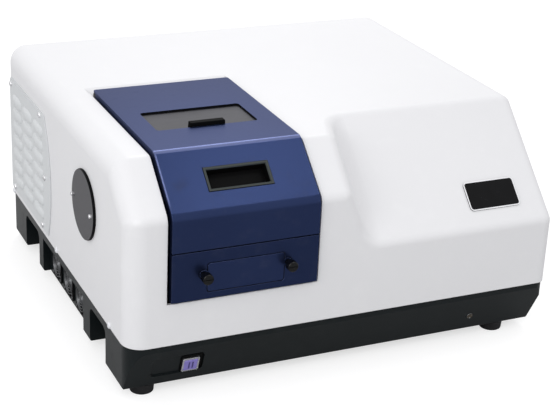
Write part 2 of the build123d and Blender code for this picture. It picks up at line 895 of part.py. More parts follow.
shutter_top = roof + lid_proud - lid_sheet - 0.2
shutter_left = lid_middle - window_width / 2 - shutter_lap_side
shutter_right = lid_middle + window_width / 2 + shutter_lap_side
shutter_front = window_front - shutter_lap_front
shutter_back = window_front + window_length + shutter_lap_back
shutter_travel = window_length - handle_depth - 2 * seat_gap


def shutter_plate():
    ends = (shutter_left, shutter_right, shutter_front, shutter_back)
    return span(*ends, shutter_top - shutter_thickness, shutter_top)


def shutter_handle():
    ends = (lid_middle - handle_width / 2, lid_middle + handle_width / 2)
    y0 = window_front + seat_gap
    bar = span(*ends, y0, y0 + handle_depth, shutter_top, roof + lid_proud + handle_rise)
    return fillet(bar.edges().group_by(Axis.Z)[-1], handle_edge)


def shutter_rails():
    top = roof + lid_proud - lid_sheet
    low = shutter_top - shutter_thickness - seat_gap - rail_lip_thickness
    ends = (shutter_front - 2, shutter_back + shutter_travel + 2)
    solids = []
    for side in (-1, 1):
        edge = lid_middle + side * ((shutter_right - shutter_left) / 2 + seat_gap)
        outer = edge + side * rail_thickness
        inner = edge - side * rail_lip
        web = span(min(edge, outer), max(edge, outer), *ends, low, top)
        lip = span(min(inner, outer), max(inner, outer), *ends, low, low + rail_lip_thickness)
        solids.append(one_solid(web + lip))
    return solids


ear_height = deck + plate_rise + ear_lift
thumbscrew_bore = thumbscrew_shank_radius + running_gap
ear_places = [lid_middle - plate_width / 2 - ear_reach, lid_middle + plate_width / 2 + ear_reach]


def plate_profile(grown, depth_from, depth_to):
    """The access plate's outline with its two ears, as a solid between two Y limits."""
    plane = Plane(origin=(lid_middle, depth_to, deck + plate_rise), x_dir=(1, 0, 0), z_dir=(0, -1, 0))
    length = depth_to - depth_from
    corner = max(plate_corner + grown, plate_gap)
    outline = RectangleRounded(plate_width + 2 * grown, plate_height + 2 * grown, corner)
    solid = extrude(plane * outline, length)
    for x in ear_places:
        solid += rod((x, depth_to, ear_height), (0, -1, 0), ear_radius + grown, length)
    return solid


def front_panel():
    low = deck + panel_rise
    high = deck + lid_seam_rise - lid_seam_gap / 2
    lid_right = lid_left + lid_width
    face = -lid_proud
    inner = face + lid_sheet
    panel = span(lid_left, lid_right, face, inner, low, high)
    for x0 in (lid_left, lid_right - lid_sheet):
        panel += span(x0, x0 + lid_sheet, face, face + lid_flange, low, high)
    panel += span(lid_left, lid_right, face, chamber_front - 0.5, low, low + lid_sheet)
    panel -= plate_profile(plate_gap, face - 1, inner)
    panel += plate_profile(ledge_width, inner, inner + ledge_thickness)
    panel -= plate_profile(-ledge_lap, inner - 1, inner + ledge_thickness + 1)
    for x in ear_places:
        panel += rod((x, inner, ear_height), (0, 1, 0), ear_radius + ledge_width, ledge_thickness)
        panel -= rod((x, face, ear_height), (0, 1, 0), thumbscrew_bore, lid_sheet + 2 * ledge_thickness)
    return one_solid(panel)


def access_plate():
    face = -lid_proud
    plate = plate_profile(0, face, face + lid_sheet - seat_gap)
    for x in ear_places:
        plate -= rod((x, face - cut_past, ear_height), (0, 1, 0), thumbscrew_bore, lid_sheet + 2 * cut_past)
    return one_solid(plate)


def thumbscrew(x):
    face = -lid_proud - seat_gap
    neck_length = thumbscrew_length - thumbscrew_head
    neck = rod((x, face, ear_height), (0, -1, 0), thumbscrew_neck_radius, neck_length)
    head = rod((x, face - neck_length, ear_height), (0, -1, 0), thumbscrew_radius, thumbscrew_head)
    head = chamfer(head.edges().filter_by(GeomType.CIRCLE), thumbscrew_edge)
    shank_length = seat_gap + lid_sheet + 2 * ledge_thickness
    shank = rod((x, face, ear_height), (0, 1, 0), thumbscrew_shank_radius, shank_length)
    return neck + head + shank


chamber_left = lid_left + lid_sheet + chamber_gap
chamber_right = lid_left + lid_width - lid_sheet - chamber_gap
chamber_inner_front = chamber_front + chamber_wall
chamber_inner_back = chamber_back - chamber_wall
chamber_inside_floor = deck + chamber_floor_rise + chamber_floor


def sample_chamber():
    upper, lower = bend_points(hood_run, hood_drop, chamber_rim_drop)
    rim = roof - chamber_rim_drop
    outline = [(chamber_front, bench_top), (chamber_back, bench_top), (chamber_back, rim), upper, lower]
    tub = slab_along_x(chamber_left, chamber_right, outline)
    rim_clear = base_front_inset + base_wall + base_inset
    toe = (chamber_left - cut_past, chamber_right + cut_past, chamber_front - cut_past, rim_clear)
    tub -= span(*toe, bench_top - cut_past, deck + base_inset)
    inner_sides = (chamber_left + chamber_wall, chamber_right - chamber_wall)
    inner_ends = (chamber_inner_front, chamber_inner_back)
    tub -= span(*inner_sides, *inner_ends, chamber_inside_floor, roof + 5)
    tub -= span(*inner_sides, *inner_ends, bench_top - 1, chamber_inside_floor - chamber_floor)
    beam = (lid_middle, cell_from_front, axis_height)
    tub -= rod(beam, (0, 1, 0), lens_radius - lens_rim, chamber_back)
    tub -= rod(beam, (1, 0, 0), lens_radius - lens_rim, chamber_right)
    tub -= rod(beam, (-1, 0, 0), lens_radius + lens_rim, lid_middle - chamber_left + 1)
    port_width = min(front_port_width, plate_width - 2 * ledge_lap)
    middle = deck + plate_rise
    half = front_port_height / 2
    tub -= span(
        lid_middle - port_width / 2,
        lid_middle + port_width / 2,
        chamber_front - 1,
        chamber_inner_front + 1,
        middle - half,
        middle + half,
    )
    boss_start = lid_sheet - lid_proud
    for x in (chamber_left + boss_from_side, chamber_right - boss_from_side):
        for z in (deck + panel_rise + boss_from_edge, deck + lid_seam_rise - boss_from_edge):
            tub += rod((x, boss_start, z), (0, 1, 0), boss_radius, chamber_front - boss_start + cut_past)
    return one_solid(tub)


def chamber_seal():
    upper_in, lower_in = bend_points(hood_run, hood_drop, chamber_rim_drop)
    cover_side = -lid_proud + lid_sheet + seat_gap
    upper_out, lower_out = bend_points(hood_run, hood_drop, cover_side)
    low = deck + lid_seam_rise + seal_rise
    outline = [(chamber_rim_drop, low), lower_in, upper_in, (chamber_back, roof - chamber_rim_drop)]
    outline += [(chamber_back, roof - cover_side), upper_out, lower_out, (cover_side, low)]
    band = slab_along_x(chamber_left, chamber_right, outline)
    sides = (chamber_left + chamber_wall, chamber_right - chamber_wall)
    return one_solid(band - span(*sides, chamber_inner_front, chamber_inner_back, deck, roof + 9))


def chamber_lenses():
    seat = lens_radius - lens_rim - running_gap
    back_lens = rod((lid_middle, chamber_inner_back, axis_height), (0, -1, 0), lens_radius, lens_thickness)
    back_lens += rod((lid_middle, chamber_inner_back, axis_height), (0, 1, 0), seat, chamber_wall)
    side_start = (chamber_right - chamber_wall, cell_from_front, axis_height)
    side_lens = rod(side_start, (-1, 0, 0), lens_radius, lens_thickness)
    side_lens += rod(side_start, (1, 0, 0), seat, chamber_wall)
    return [back_lens, side_lens]


def cell_holder():
    half = cell_block / 2
    low = axis_height - cell_block_height / 2
    high = axis_height + cell_block_height / 2
    sides = (lid_middle - half, lid_middle + half, cell_from_front - half, cell_from_front + half)
    block = span(*sides, low, high)
    block = chamfer(block.edges().filter_by(Axis.Z), 3.0)
    floor_spot = (lid_middle, cell_from_front, chamber_inside_floor)
    block += rod(floor_spot, (0, 0, 1), cell_neck_radius, low - chamber_inside_floor)
    block += rod(floor_spot, (0, 0, 1), cell_base_radius, cell_base_thickness)
    well = cuvette_well / 2
    sides = (lid_middle - well, lid_middle + well, cell_from_front - well, cell_from_front + well)
    block -= span(*sides, high - cuvette_depth, high + 1)
    beam = (lid_middle, cell_from_front, axis_height)
    block -= rod(beam, (0, 1, 0), beam_hole_radius, half + 1)
    block -= rod(beam, (1, 0, 0), beam_hole_radius, half + 1)
    return one_solid(block)


def fan_frames():
    solids = []
    half = fan_size / 2
    for y in fan_middles:
        sides = (y - half, y + half, fan_height - half, fan_height + half)
        frame = span(fan_inner, fan_inner + fan_thickness, *sides)
        past = fan_inner - cut_past
        frame -= rod((past, y, fan_height), (1, 0, 0), half - fan_wall, fan_thickness + 2 * cut_past)
        back_start = fan_inner + fan_thickness - fan_strut
        frame += rod((back_start, y, fan_height), (1, 0, 0), fan_hub_radius, fan_strut)
        for turn in range(fan_strut_count):
            place = Pos(back_start + fan_strut / 2, y, fan_height) * Rot(turn * 360 / fan_strut_count, 0, 0)
            frame += place * Pos(0, 0, half / 2) * Box(fan_strut, 2 * fan_strut, half)
        bore_start = (back_start - cut_past, y, fan_height)
        frame -= rod(bore_start, (1, 0, 0), fan_shaft_radius + running_gap, fan_strut + 2 * cut_past)
        solids.append(one_solid(frame))
    return solids


def fan_guards():
    solids = []
    half = fan_size / 2
    start = fan_panel - guard_thickness
    for y in fan_middles:
        guard = span(start, fan_panel, y - half, y + half, fan_height - half, fan_height + half)
        guard -= rod((start - 1, y, fan_height), (1, 0, 0), half - 1.5, guard_thickness + 2)
        rings = [(half - 1.5) * share for share in (0.72, 0.45)]
        for ring in rings:
            spot = (start, y, fan_height)
            guard += tube(spot, (1, 0, 0), ring + guard_wire / 2, ring - guard_wire / 2, guard_wire)
        guard += rod((start, y, fan_height), (1, 0, 0), rings[-1] * 0.5, guard_wire)
        for turn in range(4):
            place = Pos(start + guard_wire / 2, y, fan_height) * Rot(45 + turn * 90, 0, 0)
            guard += place * Pos(0, 0, half / 2) * Box(guard_wire, guard_wire, half)
        solids.append(one_solid(guard))
    return solids


def fan_rotor(y):
    depth = fan_thickness - 6
    start = fan_inner + 2
    hub = rod((start, y, fan_height), (1, 0, 0), fan_hub_radius, depth)
    blade_reach = fan_size / 2 - 1 - fan_rotor_gap
    hub_round = rod((start, y, fan_height), (1, 0, 0), blade_reach, depth)
    for turn in range(fan_blade_count):
        blade = Rot(0, 0, 30) * Box(depth * 0.9, 1.6, blade_reach)
        place = Pos(start + depth / 2, y, fan_height) * Rot(turn * 360 / fan_blade_count, 0, 0)
        hub += (place * Pos(0, 0, blade_reach / 2 + 2) * blade) & hub_round
    shaft = rod((start, y, fan_height), (1, 0, 0), fan_shaft_radius, fan_thickness - 2)
    return one_solid(hub + shaft)


def event_bezel():
    opening = button_size + 2 * running_gap
    rim = rounded_plate(event_plane(-label_depth), bezel_size, bezel_size, label_depth + bezel_proud, 1.5)
    sleeve = Rectangle(bezel_sleeve, bezel_sleeve)
    body = extrude(event_plane(-label_depth - bezel_depth) * sleeve, bezel_depth)
    well = extrude(event_plane(-button_floor) * Rectangle(opening, opening), button_floor + 2 * bezel_proud)
    return one_solid(rim + body - well)


def event_button():
    back_face = label_depth + button_body
    cap = extrude(event_plane(-back_face) * Rectangle(button_size, button_size), back_face + button_proud)
    out = event_plane(0)
    front_edges = [
        edge for edge in cap.edges() if (edge.center() - out.origin).dot(out.z_dir) > button_proud - 0.1
    ]
    cap = fillet(front_edges, 0.8)
    peg_radius = spring_radius - spring_wire - seat_gap
    return cap + extrude(event_plane(-back_face - button_peg) * Circle(peg_radius), button_peg)


def event_spring():
    length = spring_length - 2 * spring_wire
    path = Helix(pitch=length / spring_turns, height=length, radius=spring_radius)
    profile = Plane(origin=path @ 0, z_dir=path % 0) * Circle(spring_wire)
    return event_plane(-button_floor + spring_wire) * sweep(profile, path=path)


def power_lamp():
    lens = extrude(lamp_plane(-base_wall) * Circle(lamp_radius), base_wall + lamp_ring_proud / 2)
    lens += extrude(lamp_plane(0) * Circle(lamp_radius * 0.7), lamp_ring_proud + 0.2)
    ring = extrude(lamp_plane(0) * Circle(lamp_ring_radius), lamp_ring_proud)
    ring -= extrude(lamp_plane(-1) * Circle(lamp_radius + running_gap), 2 + lamp_ring_proud)
    return [lens, ring]


panel_right = right - connector_panel_from_right
panel_left = panel_right - connector_panel_width
panel_back = back - base_inset + connector_panel_thickness
connector_height = deck - base_height / 2
inlet_middle = panel_left + inlet_from_panel_edge
rocker_middle = panel_left + rocker_from_panel_edge
usb_middle = panel_left + usb_from_panel_edge
serial_middle = panel_left + serial_from_panel_edge


def connector_panel():
    half = connector_panel_height / 2
    y0 = back - base_inset
    plate = span(panel_left, panel_right, y0, panel_back, connector_height - half, connector_height + half)
    cuts = [
        (inlet_middle, inlet_width - 2 * inlet_lap, inlet_height - 2 * inlet_lap),
        (rocker_middle, rocker_width + rocker_frame_rim, rocker_height + rocker_frame_rim),
        (usb_middle, usb_width, usb_height),
        (serial_middle, usb_width, usb_height),
    ]
    for x, width, height in cuts:
        hole = (x - width / 2, x + width / 2, y0 - 1, panel_back + 1)
        plate -= span(*hole, connector_height - height / 2, connector_height + height / 2)
    return one_solid(plate)


def block_at(x, width, height, y0, y1):
    half = height / 2
    return span(x - width / 2, x + width / 2, y0, y1, connector_height - half, connector_height + half)


def power_inlet():
    face = panel_back + inlet_flange
    inlet = block_at(inlet_middle, inlet_width, inlet_height, panel_back, face)
    lap = 2 * inlet_lap + 2 * seat_gap
    inlet_body = (inlet_width - lap, inlet_height - lap)
    inlet += block_at(inlet_middle, *inlet_body, face - inlet_body_depth, panel_back)
    socket = (inlet_socket_width, inlet_socket_height, face - inlet_socket_depth, face + cut_past)
    inlet -= block_at(inlet_middle, *socket)
    pin_back = face - inlet_socket_depth + inlet_pin_length / 2
    for side in (-1, 0, 1):
        dz = inlet_pin_drop * (1 - 2 * abs(side))
        spot = Pos(inlet_middle + side * inlet_pin_spread, pin_back, connector_height + dz)
        inlet += spot * Box(inlet_pin_thickness, inlet_pin_length, 2 * inlet_pin_thickness)
    return one_solid(inlet)


def rocker_frame():
    face = panel_back + inlet_flange
    rim = 2 * rocker_frame_rim
    frame = block_at(rocker_middle, rocker_width + rim, rocker_height + rim, panel_back, face)
    wall = rocker_frame_rim - seat_gap
    floor = face - rocker_depth
    frame += block_at(rocker_middle, rocker_width + wall, rocker_height + wall, floor - wall, panel_back)
    hole = 2 * running_gap + seat_gap
    frame -= block_at(rocker_middle, rocker_width + hole, rocker_height + hole, floor, face + cut_past)
    axle_reach = rocker_width / 2 + rocker_axle_radius + running_gap
    axle = (rocker_middle - axle_reach, rocker_axis_back, connector_height)
    frame -= rod(axle, (1, 0, 0), rocker_axle_radius + running_gap, 2 * axle_reach)
    return one_solid(frame)


rocker_axis_back = panel_back + inlet_flange - rocker_axis_depth


def power_rocker():
    half = rocker_height / 2
    lift = half * tan(radians(rocker_swing / 2))
    face = rocker_axis_back + rocker_proud
    outline = [
        (rocker_axis_back - rocker_body, connector_height - half * 0.6),
        (rocker_axis_back - rocker_body, connector_height + half * 0.6),
        (face - lift, connector_height + half - rocker_end_gap),
        (face, connector_height),
        (face + lift, connector_height - half + rocker_end_gap),
    ]
    rocker = slab_along_x(rocker_middle - rocker_width / 2, rocker_middle + rocker_width / 2, outline)
    axle_reach = rocker_width / 2 + rocker_axle_radius
    axle = (rocker_middle - axle_reach, rocker_axis_back, connector_height)
    return rocker + rod(axle, (1, 0, 0), rocker_axle_radius, 2 * axle_reach)


def data_sockets():
    solids = []
    for x in (usb_middle, serial_middle):
        lip = (panel_back, panel_back + usb_wall)
        socket = block_at(x, usb_width + usb_flange, usb_height + usb_flange, *lip)
        body = (usb_width - running_gap, usb_height - running_gap)
        socket += block_at(x, *body, panel_back - usb_depth, panel_back)
        hollow = (panel_back - usb_depth + usb_wall, panel_back + usb_depth)
        socket -= block_at(x, usb_width - 2 * usb_wall, usb_height - 2 * usb_wall, *hollow)
        tongue = (usb_width / 2, usb_height / 3.5)
        socket += block_at(x, *tongue, panel_back - usb_depth, panel_back - 2 * usb_wall)
        solids.append(one_solid(socket))
    return solids


def optical_bench():
    plate = span(bench_left, bench_right, bench_front, bench_back, bench_bottom, bench_top)
    plate = fillet(plate.edges().filter_by(Axis.Z), 8)
    for x, y in bench_posts:
        hole = rod((x, y, bench_bottom - cut_past), (0, 0, 1), bench_screw_radius + running_gap, bench_drop)
        plate -= hole
    return plate


def bench_screws():
    solids = []
    for x, y in bench_posts:
        shank = bench_thickness + bench_screw_bite
        screw = rod((x, y, bench_top - shank), (0, 0, 1), bench_screw_radius - running_gap, shank)
        screw += rod((x, y, bench_top), (0, 0, 1), bench_screw_head_radius, bench_screw_head_height)
        solids.append(screw)
    return solids


def casting(x0, width, y0, depth, height):
    """An upside-down cast box that stands open side down on the bench."""
    box = span(x0, x0 + width, y0, y0 + depth, bench_top, bench_top + height)
    box = fillet(box.edges().filter_by(Axis.Z), casting_corner)
    inner = (x0 + casting_wall, x0 + width - casting_wall, y0 + casting_wall, y0 + depth - casting_wall)
    return box - span(*inner, bench_top - 1, bench_top + height - casting_wall)


mirror_back = casting_wall + mirror_thickness + mirror_room
ex_mirror_line = ex_front + ex_depth - mirror_back
em_mirror_line = em_left + em_width - mirror_back
ex_middle = (ex_left + ex_width / 2, ex_mirror_line - mirror_to_grating)
em_middle = (em_mirror_line - mirror_to_grating, em_front + em_depth / 2)


def ex_monochromator():
    box = casting(ex_left, ex_width, ex_front, ex_depth, casting_height)
    half = slit_width / 2
    heights = (axis_height - slit_height / 2, axis_height + slit_height / 2)
    box -= span(lid_middle - half, lid_middle + half, ex_front - 1, ex_front + casting_wall + 1, *heights)
    lamp_line = lamp_house_front + lamp_house_depth / 2
    box -= span(ex_left - 1, ex_left + casting_wall + 1, lamp_line - half, lamp_line + half, *heights)
    return one_solid(box)


def em_monochromator():
    box = casting(em_left, em_width, em_front, em_depth, casting_height)
    half = slit_width / 2
    heights = (axis_height - slit_height / 2, axis_height + slit_height / 2)
    wall = (em_left - cut_past, em_left + casting_wall + cut_past)
    box -= span(*wall, cell_from_front - half, cell_from_front + half, *heights)
    exit_line = em_front + em_depth / 2
    far = em_left + em_width
    box -= span(far - casting_wall - 1, far + 1, exit_line - half, exit_line + half, *heights)
    return one_solid(box)


def grating_motor(middle):
    """A stepper motor on the bench, bored for the turntable's shaft."""
    x, y = middle
    half = motor_size / 2
    body = span(x - half, x + half, y - half, y + half, bench_top, bench_top + motor_height)
    body = chamfer(body.edges().filter_by(Axis.Z), 4)
    return body - rod((x, y, bench_top + 3), (0, 0, 1), turntable_shaft_radius + running_gap, motor_height)


def grating_turntable(middle):
    x, y = middle
    low = bench_top + motor_height + turntable_lift
    plate = rod((x, y, low), (0, 0, 1), turntable_radius, turntable_thickness)
    shaft = rod((x, y, bench_top + 3 + seat_gap), (0, 0, 1), turntable_shaft_radius, low - bench_top - 3)
    post_top = axis_height - grating_height / 2
    post = span(x - 8, x + 8, y - 5, y + 5, low, post_top)
    back_plate = span(
        x - grating_width / 2 - 3,
        x + grating_width / 2 + 3,
        y + 1,
        y + 5,
        post_top - 2,
        axis_height + grating_height / 2 + 3,
    )
    return one_solid(plate + shaft + post + back_plate)


def grating(middle):
    x, y = middle
    half = grating_width / 2
    low = axis_height - grating_height / 2
    return span(x - half, x + half, y + 1 - grating_thickness, y + 1, low, low + grating_height)


def mirrors(places):
    """Round mirrors on stems that stand on the bench, each turned to face its partner."""
    solids = []
    for x, y, turn in places:
        way = (cos(radians(turn)), sin(radians(turn)), 0)
        disc = rod((x, y, axis_height), way, mirror_radius, mirror_thickness)
        stem_x = x + way[0] * mirror_thickness / 2
        stem_y = y + way[1] * mirror_thickness / 2
        stem_height = axis_height - bench_top - mirror_radius + mirror_stem_radius
        stem = rod((stem_x, stem_y, bench_top), (0, 0, 1), mirror_stem_radius, stem_height)
        solids.append(one_solid(disc + stem))
    return solids


def ex_mirrors():
    y = ex_mirror_line
    inner = casting_wall + mirror_radius + mirror_room
    places = [(ex_left + inner, y, 90 - mirror_turn), (ex_left + ex_width - inner, y, 90 + mirror_turn)]
    return mirrors(places)


def em_mirrors():
    x = em_mirror_line
    inner = casting_wall + mirror_radius + mirror_room
    places = [(x, em_front + inner, -mirror_turn), (x, em_front + em_depth - inner, mirror_turn)]
    return mirrors(places)


def lamp_house():
    box = casting(lamp_house_left, lamp_house_width, lamp_house_front, lamp_house_depth, lamp_house_height)
    line = lamp_house_front + lamp_house_depth / 2
    far = lamp_house_left + lamp_house_width
    box -= rod((far - casting_wall - 1, line, axis_height), (1, 0, 0), lens_radius, casting_wall + 2)
    top = bench_top + lamp_house_height
    for index in range(supply_slots):
        y = lamp_house_front + lamp_house_depth * (index + 1) / (supply_slots + 1)
        slot = (y - slot_width / 2, y + slot_width / 2)
        ends = (lamp_house_left + supply_slot_margin, far - supply_slot_margin)
        box -= span(*ends, *slot, top - casting_wall - cut_past, top + cut_past)
        sides = (lamp_house_left - cut_past, lamp_house_left + casting_wall + cut_past)
        box -= span(*sides, *slot, bench_top + supply_slot_margin, top - supply_slot_margin)
    return one_solid(box)


lamp_x = lamp_house_left + lamp_house_width / 2 + 4
lamp_y = lamp_house_front + lamp_house_depth / 2


def xenon_lamp():
    bulb = Pos(lamp_x, lamp_y, axis_height) * Sphere(lamp_bulb_radius)
    half = lamp_tube_length / 2
    stem = rod((lamp_x, lamp_y, axis_height - half), (0, 0, 1), lamp_tube_radius, lamp_tube_length)
    return bulb + stem


def lamp_socket():
    low = bench_top
    high = axis_height - lamp_tube_length / 2
    half = lamp_socket_width / 2
    sides = (lamp_x - half, lamp_x + half, lamp_y - half, lamp_y + half)
    block = span(*sides, low, high + lamp_socket_grip)
    bore = lamp_tube_radius + running_gap
    return block - rod((lamp_x, lamp_y, high), (0, 0, 1), bore, lamp_socket_grip + cut_past)


def lamp_reflector():
    rim = lamp_x - lamp_bulb_radius - reflector_skin
    outer = rod((rim, lamp_y, axis_height), (-1, 0, 0), reflector_radius, reflector_depth)
    inner_radius = reflector_radius - reflector_skin
    inner_depth = reflector_depth - reflector_skin
    sphere_radius = (inner_radius**2 + inner_depth**2) / (2 * inner_depth)
    bowl = Pos(rim - inner_depth + sphere_radius, lamp_y, axis_height) * Sphere(sphere_radius)
    back_of_bowl = rim - reflector_depth
    stem_sides = (back_of_bowl, back_of_bowl + 3 * reflector_skin, lamp_y - 6, lamp_y + 6)
    stem = span(*stem_sides, bench_top, axis_height - inner_radius)
    return one_solid(outer - bowl + stem)


def pmt_housing():
    exit_line = em_front + em_depth / 2
    half = pmt_depth / 2
    low = bench_top
    high = axis_height + pmt_tube_radius + pmt_roof
    box = span(pmt_left, pmt_left + pmt_width, exit_line - half, exit_line + half, low, high)
    box = fillet(box.edges().filter_by(Axis.Z), casting_corner)
    box -= rod((pmt_left - cut_past, exit_line, axis_height), (1, 0, 0), slit_height / 2, pmt_width)
    tube_start = (pmt_left + casting_wall, exit_line, axis_height)
    return one_solid(box - rod(tube_start, (1, 0, 0), pmt_tube_radius + running_gap, pmt_width))


def pmt_tube():
    exit_line = em_front + em_depth / 2
    start = (pmt_left + casting_wall + seat_gap, exit_line, axis_height)
    return rod(start, (1, 0, 0), pmt_tube_radius, pmt_width - casting_wall - seat_gap)


def control_board():
    low = bench_top + board_stand
    top = low + board_thickness
    sides = (board_left, board_left + board_width, board_front, board_front + board_depth)
    board = span(*sides, low, top)
    for x in (sides[0] + board_post_inset, sides[1] - board_post_inset):
        for y in (sides[2] + board_post_inset, sides[3] - board_post_inset):
            board += rod((x, y, bench_top), (0, 0, 1), board_post_radius, board_stand + 2 * board_thickness)
    for column in range(board_columns):
        for row in range(board_rows):
            x = board_left + board_width * (column + 1) / (board_columns + 1)
            y = board_front + board_depth * (row + 1) / (board_rows + 1)
            height = chip_height * (1 + (column + row) % 3)
            board += Pos(x, y, top + height / 2) * Box(chip_size, chip_size, height)
    return one_solid(board)


def power_supply():
    box = span(
        supply_left,
        supply_left + supply_width,
        supply_front,
        supply_front + supply_depth,
        bench_top,
        bench_top + supply_height,
    )
    top = bench_top + supply_height
    ends = (supply_left + supply_slot_margin, supply_left + supply_width - supply_slot_margin)
    for index in range(supply_slots):
        y = supply_front + supply_depth * (index + 1) / (supply_slots + 1)
        box -= span(*ends, y - slot_width / 2, y + slot_width / 2, top - slot_width, top + cut_past)
    return box


def lamp_supply():
    x0 = right / 2 - lamp_supply_width - lamp_supply_from_middle
    y0 = back / 2 - lamp_supply_depth / 2
    low = tray_floor
    box = span(x0, x0 + lamp_supply_width, y0, y0 + lamp_supply_depth, low, low + lamp_supply_height)
    top = low + lamp_supply_height
    ends = (x0 - cut_past, x0 + lamp_supply_width + cut_past)
    for index in range(supply_slots):
        y = y0 + lamp_supply_depth * (index + 1) / (supply_slots + 1)
        box -= span(*ends, y - slot_width / 2, y + slot_width / 2, top - 2 * slot_width, top + cut_past)
    return one_solid(box)


pieces["base_tray"] = base_tray()
pieces["feet"] = feet()
pieces["foot_screws"] = foot_screws()
pieces["housing_cover"] = housing_cover()
pieces["cover_screws"] = cover_screws()
pieces["vent_cover"] = vent_cover()
pieces["vent_cover_screws"] = vent_cover_screws()
pieces["port_ring"] = port_ring()
pieces["port_disc"] = port_disc()
pieces["port_screws"] = port_screws()
pieces["badge_plate"] = badge()
pieces["lid_shell"] = lid_shell()
pieces["lid_pull"] = lid_pull()
pieces["lid_hinge_leaf"] = lid_hinge_leaf()
pieces["body_hinge_leaf"] = body_hinge_leaf()
pieces["hinge_pin"] = hinge_pin()
pieces["shutter_plate"] = shutter_plate()
pieces["shutter_handle"] = shutter_handle()
pieces["shutter_rails"] = shutter_rails()
pieces["front_panel"] = front_panel()
pieces["access_plate"] = access_plate()
pieces["thumbscrew_left"] = thumbscrew(ear_places[0])
pieces["thumbscrew_right"] = thumbscrew(ear_places[1])
pieces["sample_chamber"] = sample_chamber()
pieces["chamber_seal"] = chamber_seal()
pieces["chamber_lenses"] = chamber_lenses()
pieces["cell_holder"] = cell_holder()
pieces["fan_frames"] = fan_frames()
pieces["fan_guards"] = fan_guards()
for number, place in enumerate(fan_middles, start=1):
    pieces[f"fan_rotor_{number}"] = fan_rotor(place)
pieces["event_bezel"] = event_bezel()
pieces["event_button"] = event_button()
pieces["event_spring"] = event_spring()
pieces["power_lamp"] = power_lamp()
pieces["connector_panel"] = connector_panel()
pieces["power_inlet"] = power_inlet()
pieces["rocker_frame"] = rocker_frame()
pieces["power_rocker"] = power_rocker()
pieces["data_sockets"] = data_sockets()
pieces["optical_bench"] = optical_bench()
pieces["bench_screws"] = bench_screws()
pieces["ex_monochromator"] = ex_monochromator()
pieces["grating_motors"] = [grating_motor(ex_middle), grating_motor(em_middle)]
pieces["ex_turntable"] = grating_turntable(ex_middle)
pieces["ex_grating"] = grating(ex_middle)
pieces["mirrors"] = ex_mirrors() + em_mirrors()
pieces["em_monochromator"] = em_monochromator()
pieces["em_turntable"] = grating_turntable(em_middle)
pieces["em_grating"] = grating(em_middle)
pieces["lamp_house"] = lamp_house()
pieces["xenon_lamp"] = xenon_lamp()
pieces["lamp_socket"] = lamp_socket()
pieces["lamp_reflector"] = lamp_reflector()
pieces["pmt_housing"] = pmt_housing()
pieces["pmt_tube"] = pmt_tube()
pieces["control_board"] = control_board()
pieces["power_supply"] = power_supply()
pieces["lamp_supply"] = lamp_supply()

# The whole instrument is centred over its footprint, with its feet on the bench.
boxes = []
for shape in pieces.values():
    solids = shape if isinstance(shape, list) else [shape]
    boxes += [solid.bounding_box() for solid in solids]
middle_x = (min(box.min.X for box in boxes) + max(box.max.X for box in boxes)) / 2
middle_y = (min(box.min.Y for box in boxes) + max(box.max.Y for box in boxes)) / 2
to_centre = Pos(-middle_x, -middle_y, 0)

os.makedirs("parts", exist_ok=True)
for name, shape in pieces.items():
    solids = shape if isinstance(shape, list) else [shape]
    moved = [to_centre * solid for solid in solids]
    export_step(moved[0] if len(moved) == 1 else Compound(children=moved), f"parts/{name}.step")
print(len(pieces), "nodes, shift", round(-middle_x, 4), round(-middle_y, 4))
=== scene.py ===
import math

import bmesh
import bpy
from mathutils import Euler, Matrix, Vector


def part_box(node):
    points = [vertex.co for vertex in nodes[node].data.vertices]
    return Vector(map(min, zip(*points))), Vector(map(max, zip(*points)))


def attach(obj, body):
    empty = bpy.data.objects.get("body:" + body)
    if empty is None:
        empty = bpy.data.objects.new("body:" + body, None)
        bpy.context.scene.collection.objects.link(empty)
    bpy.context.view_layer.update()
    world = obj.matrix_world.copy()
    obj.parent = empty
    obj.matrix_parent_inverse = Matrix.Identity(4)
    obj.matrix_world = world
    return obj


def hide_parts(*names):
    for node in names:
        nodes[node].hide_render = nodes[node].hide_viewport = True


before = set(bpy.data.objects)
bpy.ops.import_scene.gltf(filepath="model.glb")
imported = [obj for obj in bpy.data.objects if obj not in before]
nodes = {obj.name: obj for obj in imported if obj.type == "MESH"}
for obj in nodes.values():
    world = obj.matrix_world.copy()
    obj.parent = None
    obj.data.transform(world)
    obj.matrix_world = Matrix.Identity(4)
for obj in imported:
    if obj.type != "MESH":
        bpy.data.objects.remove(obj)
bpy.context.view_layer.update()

# Base tray: one aluminium casting in charcoal powder coat, open on top, with a lip that the
# white cover sits on. The coat has a fine sand grain, and its edges are painted a little lighter, as wear
# and as a painted sheen.


class Channel:
    """A socket of a finish, which takes part in Python sums."""

    def __init__(self, finish, socket):
        self.finish = finish
        self.socket = socket

    def sum(self, operation, first, second):
        return self.finish.add("ShaderNodeMath", {"operation": operation}, {0: first, 1: second})

    def __add__(self, other):
        return self.sum("ADD", self, other)

    __radd__ = __add__

    def __sub__(self, other):
        return self.sum("SUBTRACT", self, other)

    def __rsub__(self, other):
        return self.sum("SUBTRACT", other, self)

    def __mul__(self, other):
        return self.sum("MULTIPLY", self, other)

    __rmul__ = __mul__


